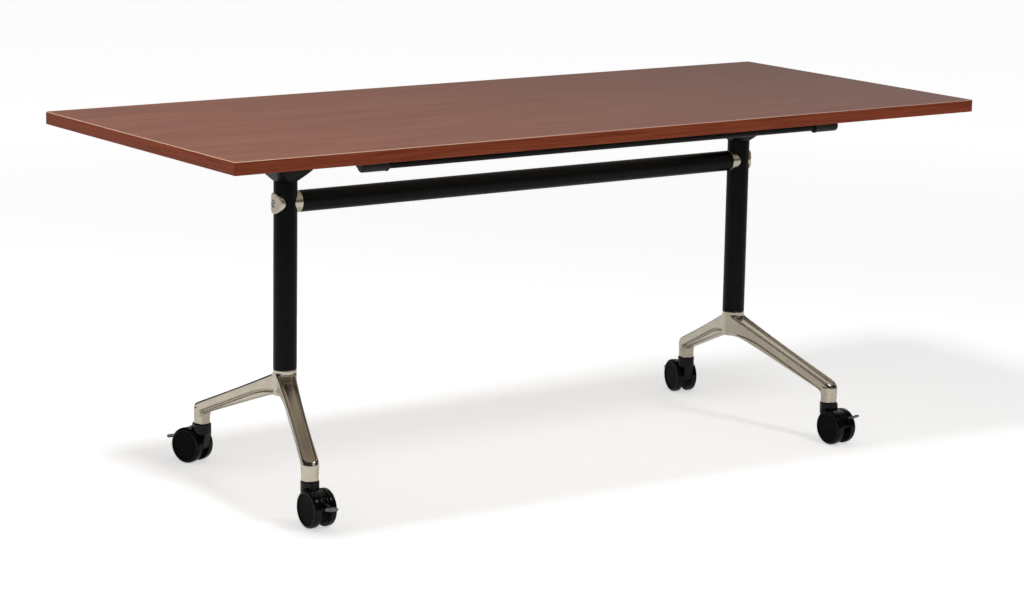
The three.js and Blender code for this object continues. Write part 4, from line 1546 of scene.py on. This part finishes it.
@dataclass
class Release:
    """Release bar, its grips, and the latch bolts and springs that it pulls."""

    bar_radius: float = 8.0
    bar_ease: float = 0.6
    grip_radius: float = 11.5
    grip_ease: float = 0.8
    grip_end_ease: float = 6.0
    flange_rise: float = 1.0
    flange_length: float = 4.0
    flange_fillet: float = 1.0
    boss_radius: float = 8.0
    boss_length: float = 28.0
    boss_fillet: float = 3.0
    rod_core: float = 1.5
    rod_radius: float = 4.0
    rod_ease: float = 0.6
    nose_radius: float = 6.0
    nose_ease: float = 1.2
    stop_radius: float = 8.5
    stop_length: float = 3.0
    stop_front: float = -113.0
    stop_ease: float = 0.4
    wire_radius: float = 0.8
    coil_radius: float = 6.0
    coil_turns: float = 6.0
    coil_closing: float = 0.09  # how far the end turns draw together
    coil_steps: int = 30
    wire_round: int = 10
    grip_step: float = 1.1

    def grip_field(self, point: np.ndarray) -> np.ndarray:
        """Grip: a sleeve with a rounded outer end and a flange, and a boss for the latch rod.

        Args:
            point: places with x outward from the column's axis and y, z from the bar's axis.

        Returns:
            The field, negative inside.
        """
        x, y, z = np.moveaxis(point, -1, 0)
        low, high = box_mm("right_release_grip")
        column = box_centre("right_column")[0]
        inner, outer = low[0] - column, high[0] - column
        round_bar = np.hypot(y, z) - self.grip_radius
        sleeve = meet(round_bar, x - outer, ease=self.grip_end_ease)
        sleeve = meet(sleeve, inner - x, ease=self.grip_ease)
        flange_end = x - inner - self.flange_length
        rim = meet(round_bar - self.flange_rise, inner - x, flange_end, ease=self.grip_ease)
        boss = meet(np.hypot(x, z) - self.boss_radius, -y, y - self.boss_length, ease=self.grip_ease)
        return welded(welded(sleeve, rim, self.flange_fillet), boss, self.boss_fillet)

    def grip(self, side: Side, bar_axis: np.ndarray) -> Skin:
        """One grip in place.

        Args:
            side: which end of the bar.
            bar_axis: a point on the bar's axis.

        Returns:
            The closed grip.
        """
        low, high = box_mm("right_release_grip")
        column = box_centre("right_column")[0]
        edge = self.grip_radius + self.flange_rise + SMALL_ROOM
        start = [low[0] - column - SMALL_ROOM, -edge, -edge]
        stop = [high[0] - column + SMALL_ROOM, self.boss_length + SMALL_ROOM, edge]
        skin = cast(self.grip_field, start, stop, self.grip_step)
        axes = np.diag([float(side.value), 1.0, 1.0])
        return skin.moved(axes, np.array([side.value * column, bar_axis[1], bar_axis[2]]))

    def latch_bolt(self, side: Side) -> Skin:
        """Latch bolt: rod, stop flange and nose turned in one.

        Args:
            side: which end of the bar pulls it.

        Returns:
            The closed bolt.
        """
        low, high = box_mm(f"{side.word}_latch_bolt")
        centre = (low + high) / 2
        rod_start, tip = low[1] - centre[1], high[1] - centre[1]
        stop = self.stop_front - centre[1]
        stop_end = stop + self.stop_length
        profile = eased(
            [
                (self.rod_core, rod_start, 0),
                (self.rod_radius, rod_start, self.rod_ease),
                (self.rod_radius, stop, 0),
                (self.stop_radius, stop, self.stop_ease),
                (self.stop_radius, stop_end, self.stop_ease),
                (self.nose_radius, stop_end, 0),
                (self.nose_radius, tip, self.nose_ease),
                (self.rod_core, tip, 0),
            ]
        )
        return turned(profile, centre, ALONG_Y, SMALL_ROUND)

    def spring(self, side: Side) -> Skin:
        """Compression spring.

        The wire's middle is at (coil radius * cos t, rise, coil radius * sin t). The rise goes with the
        share of the turns less a sine wave of it, so it is slower at both ends and half way. The wire's
        section is a circle in the plane of the spoke and the direction square to spoke and wire.

        Args:
            side: which latch bolt it is on.

        Returns:
            The closed wire.
        """
        low, high = box_mm(f"{side.word}_latch_spring")
        centre = (low + high) / 2
        share = np.linspace(0, 1, int(self.coil_turns * self.coil_steps) + 1)
        angle = 2 * np.pi * self.coil_turns * share
        length = high[1] - low[1] - 2 * self.wire_radius
        rise = length * (share - self.coil_closing * np.sin(4 * np.pi * share) / np.pi)
        spoke = np.stack([np.cos(angle), np.zeros_like(angle), np.sin(angle)], -1)
        middle = spoke * self.coil_radius + rise[:, None] * ALONG_Y
        heading = np.gradient(middle, axis=0)
        heading /= np.linalg.norm(heading, axis=1, keepdims=True)
        square = np.cross(heading, spoke)
        round_wire = right_round(self.wire_round)
        cosine, sine = np.cos(round_wire)[:, None], np.sin(round_wire)[:, None]
        section = cosine * spoke[:, None] + sine * square[:, None]
        start = np.array([centre[0], low[1] + self.wire_radius, centre[2]])
        return lofted(start + middle[:, None] + self.wire_radius * section)

    def build(self, workshop: Workshop) -> None:
        """Builds and dresses the release.

        Args:
            workshop: makes the pieces.
        """
        body = Body.RELEASE.value
        low, high = box_mm("release_bar")
        axis = (low + high) / 2
        reach = (high[0] - low[0]) / 2
        bar = rod(axis, ALONG_X, self.bar_radius, (-reach, reach), self.bar_ease)
        workshop.piece("release_bar_finished", bar, body, Finish.POWDER_COAT, ["release_bar"])
        for side in Side:
            names = ("release_grip", "latch_bolt", "latch_spring")
            grip, bolt, coil = (f"{side.word}_{name}" for name in names)
            workshop.piece(f"{grip}_finished", self.grip(side, axis), body, Finish.GRIP, [grip], False)
            workshop.piece(f"{bolt}_finished", self.latch_bolt(side), body, Finish.ZINC_STEEL, [bolt])
            spring = workshop.piece(
                f"{coil}_finished", self.spring(side), Body.TOP.value, Finish.ZINC_STEEL, [coil], False
            )
            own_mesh(spring)


@dataclass
class Caster:
    """Twin wheel caster in its own frame: swivel on Z, the wheels trail along +X, the axle along Y."""

    corner: Corner
    wheel_radius: float = 37.5
    wheel_inner: float = 10.4
    wheel_outer: float = 25.0
    wheel_face: float = 23.5
    wheel_core: float = 1.0
    face_dip: float = 0.2
    face_ease: float = 0.8
    lip_width: float = 2.0
    lip_sink: float = 0.4  # below the tyre's outer side
    lip_ease: float = 0.6
    back_sink: float = 0.3  # below the tyre's inner side
    back_ease: float = 0.5
    tread_ease: float = 5.0  # of the tyre's outer shoulder
    shoulder_ease: float = 2.0  # of its inner one
    tyre_ease: tuple[float, float] = (0.6, 0.4)  # of its outer and inner edge at the rim
    arc_steps: int = 7  # in each rounded corner of disc and tyre
    rim_radius: float = 31.4
    tyre_line: float = 0.15
    web_half: float = 10.0
    web_radius: float = 36.5
    web_ease: float = 1.4
    web_lower: tuple[tuple[float, float], ...] = ((-36.5, -4.0), (-11.0, -11.0), (5.5, -11.0), (36.5, 5.5))
    back_lean: float = 9.0  # degrees
    wheel_room: float = 39.0
    wheel_room_ease: float = 1.5
    neck_radius: float = 18.5
    neck_low: float = 63.5
    neck_top: float = 86.5
    neck_ease: float = 1.6
    neck_inset: float = 1.0  # of the flank behind the neck's wall and below its top
    neck_fillet: float = 3.0
    flank_ease: float = 1.2
    flank_fillet: float = 2.0
    lower_ease: float = 1.0
    lower_lean: float = 0.9  # about the cosine of the lower edge's slope
    slot_half: float = 3.9
    slot_room: float = 4.5
    slot_heel: float = 5.5
    slot_ease: float = 0.8
    slot_spread: float = 17.0  # degrees to each side, half the pedal's swing
    cam_radius: float = 10.0
    cam_room: float = 0.6
    cam_ease: float = 0.6
    paddle_inner: float = 28.0
    paddle_outer: float = 48.0
    paddle_half: float = 15.0
    paddle_lift: float = 4.5
    tongue_half: float = 3.6
    tongue_thickness: float = 6.0
    tongue_heel: float = 4.0  # behind the pivot
    tongue_ease: float = 0.8
    pedal_fillet: float = 1.0
    leaf_thickness: tuple[float, float] = (3.6, 2.4)  # at its root and its tip
    leaf_ease: float = 0.5
    pad_thickness: float = 1.4
    pad_sink: float = 0.2  # into the lever
    hood_step: float = 1.2
    hood_below: float = 15.0  # lowest of the hood's grid below the axle
    pedal_step: float = 0.6

    def named(self, name: str) -> str:
        """Full name of a joint, node, body or piece of this caster."""
        return f"{self.corner.value}_{name}"

    def frame(self, workshop: Workshop) -> tuple[np.ndarray, np.ndarray]:
        """The caster's own axes and origin in the table's frame.

        Args:
            workshop: knows the joints.

        Returns:
            Axes as columns, and the foot of the swivel axis on the floor.
        """
        stem = workshop.joint_place(self.named("swivel"))
        axle = workshop.joint_place(self.named("inner_roll"))
        trail = np.append((axle - stem)[:2], 0.0)
        trail /= np.linalg.norm(trail)
        return np.stack([trail, np.cross(UP, trail), UP], axis=1), np.array([stem[0], stem[1], 0.0])

    def wheel(self, trail: float, sign: float) -> Skin:
        """Wheel disc turned from its sunk outer face over the rim to its inner face.

        Args:
            trail: distance from the swivel axis to the axle.
            sign: +1 on the +Y side of the web.

        Returns:
            The closed disc.
        """
        face, rim = self.wheel_face, self.rim_radius - self.tyre_line
        profile = eased(
            [
                (self.wheel_core, face, 0),
                (rim - self.lip_width, face - self.face_dip, self.face_ease),
                (rim, self.wheel_outer - self.lip_sink, self.lip_ease),
                (rim, self.wheel_inner + self.back_sink, self.back_ease),
                (self.wheel_core, self.wheel_inner, 0),
            ],
            steps=self.arc_steps,
        )
        return turned(profile, np.array([trail, 0.0, self.wheel_radius]), ALONG_Y * sign, WHEEL_ROUND)

    def tyre(self, trail: float, sign: float) -> Skin:
        """Tyre turned as a ring round the disc, its outer shoulder rounder than its inner one.

        Args:
            trail: distance from the swivel axis to the axle.
            sign: +1 on the +Y side of the web.

        Returns:
            The closed ring.
        """
        rim, tread = self.rim_radius, self.wheel_radius
        inner, outer = self.wheel_inner, self.wheel_outer
        middle = (inner + outer) / 2
        profile = eased(
            [
                (rim, middle, 0),
                (rim, outer, self.tyre_ease[0]),
                (tread, outer, self.tread_ease),
                (tread, inner, self.shoulder_ease),
                (rim, inner, self.tyre_ease[1]),
                (rim, middle, 0),
            ],
            steps=self.arc_steps,
        )[:-1]
        centre = np.array([trail, 0.0, self.wheel_radius])
        return turned(profile, centre, ALONG_Y * sign, WHEEL_ROUND, ring=True)

    def hood_field(self, point: np.ndarray, trail: float, pivot: np.ndarray) -> np.ndarray:
        """Hood: neck and web in one moulding, cleared for the wheels and slotted for the pedal.

        Args:
            point: places in the caster's frame.
            trail: distance from the swivel axis to the axle.
            pivot: the pedal's pivot.

        Returns:
            The field, negative inside.
        """
        x, y, z = np.moveaxis(point, -1, 0)
        y = np.abs(y)
        spoke = np.hypot(x - trail, z - self.wheel_radius)
        barrel = np.hypot(x, y) - self.neck_radius
        neck = meet(barrel, self.neck_low - z, z - self.neck_top, ease=self.neck_ease)
        room = np.maximum(spoke - self.wheel_room, self.web_half - y)
        neck = carved(neck, room, self.wheel_room_ease)
        web = meet(spoke - self.web_radius, y - self.web_half, ease=self.web_ease)
        wall, inset = self.neck_radius, self.neck_inset
        rise, run = self.neck_low - self.wheel_radius, trail - self.web_radius + wall - inset
        front = rise * (trail - self.web_radius - x) - run * (z - self.wheel_radius)
        front = front / math.hypot(rise, run)
        lean = math.radians(self.back_lean)
        back = (x - trail) * math.cos(lean) + (z - self.wheel_radius) * math.sin(lean)
        shoulder = np.maximum(-wall + inset - x, z - self.neck_top + inset)
        outline = np.maximum(np.maximum(front, back), shoulder)
        flank = meet(y - self.web_half, outline, self.wheel_radius - z, ease=self.flank_ease)
        body = welded(welded(web, flank, self.flank_fillet), neck, self.neck_fillet)
        dx, dz = x - pivot[0], np.abs(z - pivot[2])
        mouth = self.slot_room + np.maximum(dx, 0) * math.tan(math.radians(self.slot_spread))
        cam = np.hypot(dx, dz) - self.cam_radius - self.cam_room
        opening = np.minimum(np.maximum(dz - mouth, -self.slot_heel - dx), cam)
        slot = np.maximum(y - self.slot_half, opening)
        ends, drops = np.array(self.web_lower).T
        lower = self.wheel_radius + np.interp(x - trail, ends, drops)
        slotted = carved(body, slot, self.slot_ease)
        return meet(slotted, (lower - z) * self.lower_lean, ease=self.lower_ease)

    def leaf_plan(self, point: np.ndarray) -> tuple[np.ndarray, np.ndarray, np.ndarray]:
        """Outline and faces of the pedal's leaf: both edges bowed, curled up at its outer edge.

        The leaf is what two discs have in common; with half its depth d and half its width w, their
        radius is (w^2 + d^2) / 2d. Its middle rises with the square of the distance from its root.

        Args:
            point: places from the pivot, x outward, before the pedal is tilted.

        Returns:
            The outline's field, and the heights of the lower and the upper face.
        """
        x, y = point[..., 0], np.abs(point[..., 1])
        depth = (self.paddle_outer - self.paddle_inner) / 2
        bow = (self.paddle_half**2 + depth**2) / (2 * depth)
        outer_edge = np.hypot(x - self.paddle_outer + bow, y) - bow
        inner_edge = np.hypot(x - self.paddle_inner - bow, y) - bow
        share = np.clip((x - self.paddle_inner) / (2 * depth), 0, 1)
        root, tip = self.leaf_thickness
        half = (root + (tip - root) * share) / 2
        middle = self.paddle_lift * share**2
        return np.maximum(outer_edge, inner_edge), middle - half, middle + half

    def pad_field(self, point: np.ndarray) -> np.ndarray:
        """Pedal's grey pad, its paleness a painted reflection: the upper part of its leaf.

        Args:
            point: places from the pivot, x outward, before the pedal is tilted.

        Returns:
            The field, negative inside.
        """
        outline, _, upper = self.leaf_plan(point)
        z = point[..., 2]
        return meet(outline, z - upper, upper - self.pad_thickness - z, ease=self.leaf_ease)

    def lever_field(self, point: np.ndarray) -> np.ndarray:
        """Pedal's lever: the lower part of its leaf, and a straight tongue to the drum on the pivot.

        Args:
            point: places from the pivot, x outward, before the pedal is tilted.

        Returns:
            The field, negative inside.
        """
        x, y, z = np.moveaxis(point, -1, 0)
        y = np.abs(y)
        tongue_end = x - self.paddle_inner - self.tongue_thickness / 2
        thick = np.abs(z) - self.tongue_thickness / 2
        heel = -self.tongue_heel - x
        tongue = meet(y - self.tongue_half, thick, tongue_end, heel, ease=self.tongue_ease)
        cam = meet(np.hypot(x, z) - self.cam_radius, y - self.tongue_half, ease=self.cam_ease)
        outline, lower, upper = self.leaf_plan(point)
        seat = upper - self.pad_thickness + self.pad_sink
        carrier = meet(outline, lower - z, z - seat, ease=self.leaf_ease)
        return welded(welded(tongue, cam, self.pedal_fillet), carrier, self.pedal_fillet)

    def build(self, workshop: Workshop) -> None:
        """Builds and dresses one caster.

        Args:
            workshop: makes the pieces.
        """
        axes, origin = self.frame(workshop)
        axle = workshop.joint_place(self.named("inner_roll"))
        pivot = axes.T @ (workshop.joint_place(self.named("brake")) - origin)
        trail = float(np.linalg.norm((axle - origin)[:2]))
        body = self.named("caster")
        edge = self.neck_radius + ROOM
        hood = cast(
            lambda point: self.hood_field(point, trail, pivot),
            [-edge, -edge, self.wheel_radius - self.hood_below],
            [trail + self.wheel_radius + ROOM, edge, self.neck_top + ROOM],
            self.hood_step,
        )
        node = self.named("caster_hood")
        workshop.piece(f"{node}_finished", hood.moved(axes, origin), body, Finish.HOOD, [node], False)
        for which in ("inner", "outer"):
            node = self.named(f"{which}_wheel")
            sign = math.copysign(1.0, float((box_centre(node) - axle) @ axes[:, 1]))
            wheel, tyre = self.wheel(trail, sign), self.tyre(trail, sign)
            workshop.piece(f"{node}_finished", wheel.moved(axes, origin), node, Finish.WHEEL, [node])
            workshop.piece(self.named(f"{which}_tyre"), tyre.moved(axes, origin), node, Finish.TYRE)
        tilt = -math.radians(sum(workshop.joints[self.named("brake")]["range_deg"]) / 2)
        tipped = np.array(
            [[math.cos(tilt), 0, math.sin(tilt)], [0, 1, 0], [-math.sin(tilt), 0, math.cos(tilt)]]
        )
        edge, half = self.cam_radius + SMALL_ROOM, self.paddle_half + SMALL_ROOM
        low, high = [-edge, -half, -edge], [self.paddle_outer + SMALL_ROOM, half, edge]
        node, rides = self.named("brake_pedal"), self.named("pedal")
        pad, lever = (
            cast(shape, low, high, self.pedal_step).moved(tipped, pivot).moved(axes, origin)
            for shape in (self.pad_field, self.lever_field)
        )
        # the pad's pale grey is a painted reflection on the pedal's upper face; the lever under it is black
        workshop.piece(f"{node}_finished", pad, rides, Finish.PEDAL, [node], False)
        workshop.piece(self.named("brake_lever"), lever, rides, Finish.HOOD, crisp=False)
        workshop.dress(self.named("caster_stem"), Finish.ZINC_STEEL)
        workshop.dress(self.named("axle"), Finish.ZINC_STEEL)


@dataclass(frozen=True)
class Lamp:
    """A rectangular lamp that faces straight down, or up for the light that a pale floor sends back.

    Attributes:
        name: the lamp's name.
        place: its middle in metres.
        size: its length and breadth in metres.
        power: in watts.
        faces_up: a bounce light, which neither the camera nor a reflection sees.
    """

    name: str
    place: tuple[float, float, float]
    size: tuple[float, float]
    power: float
    faces_up: bool = False

    def build(self) -> None:
        """Hangs the lamp."""
        data = bpy.data.lights.new(self.name, "AREA")
        data.shape = "RECTANGLE"
        data.size, data.size_y = self.size
        data.energy = self.power
        lamp = bpy.data.objects.new(self.name, data)
        lamp.location = self.place
        if self.faces_up:
            lamp.rotation_euler = (math.pi, 0.0, 0.0)
            lamp.visible_camera = False
            lamp.visible_glossy = False
        bpy.context.scene.collection.objects.link(lamp)


@dataclass(frozen=True)
class Panel:
    """A pale part of the room that reflections see.

    Attributes:
        towards: its direction from the table.
        reach: cosines to that direction at which it starts and is full.
        level: what it adds to the dim room.
    """

    towards: tuple[float, float, float]
    reach: tuple[float, float]
    level: float


@dataclass
class Studio:
    """Camera at the photograph's viewing angle, floor, room and lamps; lengths in metres."""

    azimuth: float = -35.25
    elevation: float = 11.28
    roll: float = 1.02
    distance: float = 6.48085
    look_at: tuple[float, float, float] = (-0.02356, 0.0, 0.34275)
    focal_share: float = 3.00568  # focal length over the picture's width
    sensor: float = 36.0  # millimetres
    floor_half: float = 40.0
    floor_colour: str = "f4f4f4"
    floor_glow: tuple[float, float] = (0.58, 0.82)
    glow_reach: tuple[float, float] = (1.2, 5.0)  # from the table, where the glow changes
    glossy_share: float = 0.72  # of the glow, as reflections see it
    fill_level: float = 0.16  # of the room on dull surfaces
    dim_level: float = 0.036  # of the room in reflections, away from its panels
    seen_level: float = 1.0  # of the room to the camera
    panels: tuple[Panel, ...] = (
        Panel((0.6, 0.78, 0.15), (0.45, 0.95), 0.312),
        Panel((0.675, 0.519, 0.523), (0.95, 0.985), 0.76),
    )
    lamps: tuple[Lamp, ...] = (
        Lamp("left_soft_box", (-1.3, -0.15, 3.2), (0.8, 0.8), 70.0),
        Lamp("right_soft_box", (0.9, -2.2, 3.0), (0.6, 0.6), 24.0),
        Lamp("floor_bounce", (0.0, 0.0, 0.004), (2.4, 1.6), 6.2, faces_up=True),
    )

    def camera(self) -> None:
        """Camera on the ray from the look-at point, rolled about its own axis."""
        turn, tip, roll = (math.radians(value) for value in (self.azimuth, self.elevation, self.roll))
        back = np.array([math.sin(turn) * math.cos(tip), -math.cos(turn) * math.cos(tip), math.sin(tip)])
        level = np.array([math.cos(turn), math.sin(turn), 0.0])
        rise = np.cross(back, level)
        right = level * math.cos(roll) + rise * math.sin(roll)
        up = rise * math.cos(roll) - level * math.sin(roll)
        data = bpy.data.cameras.new("camera")
        data.sensor_fit = "HORIZONTAL"
        data.sensor_width = self.sensor
        data.lens = self.focal_share * self.sensor
        camera = bpy.data.objects.new("camera", data)
        place = np.eye(4)
        place[:3, :3] = np.stack([right, up, back], axis=1)
        place[:3, 3] = np.array(self.look_at) + self.distance * back
        camera.matrix_world = Matrix(place.tolist())
        bpy.context.scene.collection.objects.link(camera)
        bpy.context.scene.camera = camera

    def floor(self) -> None:
        """Pale floor that looks white to the camera and in reflections, and keeps the shadow."""
        half = self.floor_half
        mesh = bpy.data.meshes.new("floor")
        corners = [(-half, -half, 0), (half, -half, 0), (half, half, 0), (-half, half, 0)]
        mesh.from_pydata(corners, [], [(0, 1, 2, 3)])
        material = blank("white paper sweep")
        tree = material.node_tree
        paper = add(tree, "ShaderNodeBsdfDiffuse", {"Color": linear(self.floor_colour)})
        path = add(tree, "ShaderNodeLightPath").outputs
        seen = reckoned(
            tree, "MULTIPLY_ADD", path["Is Glossy Ray"], self.glossy_share, path["Is Camera Ray"]
        )
        shown = reckoned(tree, "ADD", seen, path["Is Transmission Ray"], clamp=True)
        place = add(tree, "ShaderNodeTexCoord").outputs["Object"]
        distance = add(tree, "ShaderNodeVectorMath", {0: place}, operation="LENGTH").outputs["Value"]
        graded = ranged(tree, distance, self.glow_reach, self.floor_glow)
        glow = add(tree, "ShaderNodeEmission", {"Strength": reckoned(tree, "MULTIPLY", shown, graded)})
        both = add(tree, "ShaderNodeAddShader", {0: paper.outputs[0], 1: glow.outputs[0]})
        add(tree, "ShaderNodeOutputMaterial", {"Surface": both.outputs[0]})
        mesh.materials.append(material)
        floor = bpy.data.objects.new("floor", mesh)
        bpy.context.scene.collection.objects.link(floor)

    def room(self) -> None:
        """Room light: an even fill for dull surfaces, a dim studio in reflections, white to the camera.

        Each panel adds a straight function of the cosine between a direction and its own.
        """
        world = bpy.data.worlds.new("studio")
        bpy.context.scene.world = world
        world.use_nodes = True
        tree = world.node_tree
        tree.nodes.clear()
        direction = add(tree, "ShaderNodeTexCoord").outputs["Generated"]
        level: float | bpy.types.NodeSocket = self.dim_level
        for panel in self.panels:
            towards = (np.array(panel.towards) / np.linalg.norm(panel.towards)).tolist()
            facing = add(tree, "ShaderNodeVectorMath", {0: direction, 1: towards}, operation="DOT_PRODUCT")
            lit = ranged(tree, facing.outputs["Value"], panel.reach, (0.0, panel.level))
            level = reckoned(tree, "ADD", lit, level)
        path = add(tree, "ShaderNodeLightPath").outputs
        lights = {0: path["Is Glossy Ray"], FLOAT_A: self.fill_level, FLOAT_B: level}
        room = add(tree, "ShaderNodeMix", lights).outputs[0]
        views = {0: path["Is Camera Ray"], FLOAT_A: room, FLOAT_B: self.seen_level}
        seen = add(tree, "ShaderNodeMix", views).outputs[0]
        light = add(tree, "ShaderNodeBackground", {"Color": WHITE, "Strength": seen})
        add(tree, "ShaderNodeOutputWorld", {"Surface": light.outputs[0]})

    def build(self) -> None:
        """Sets up the whole studio."""
        bpy.context.scene.view_settings.view_transform = "Standard"
        self.camera()
        self.floor()
        self.room()
        for lamp in self.lamps:
            lamp.build()


def main() -> None:
    """Builds the table over the frame, piece by piece, and the studio round it."""
    logging.basicConfig(level=logging.INFO, format="%(name)s: %(message)s")
    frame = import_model()
    workshop = Workshop(frame["nodes"], {joint["name"]: joint for joint in frame["joints"]})
    TableTop().build(workshop)
    Crossbar().build(workshop)
    casting = Foot().skin()
    for side in Side:
        Leg(side).build(workshop, casting)
    Release().build(workshop)
    for corner in Corner:
        Caster(corner).build(workshop)
    Studio().build()


if __name__ == "__main__":
    main()
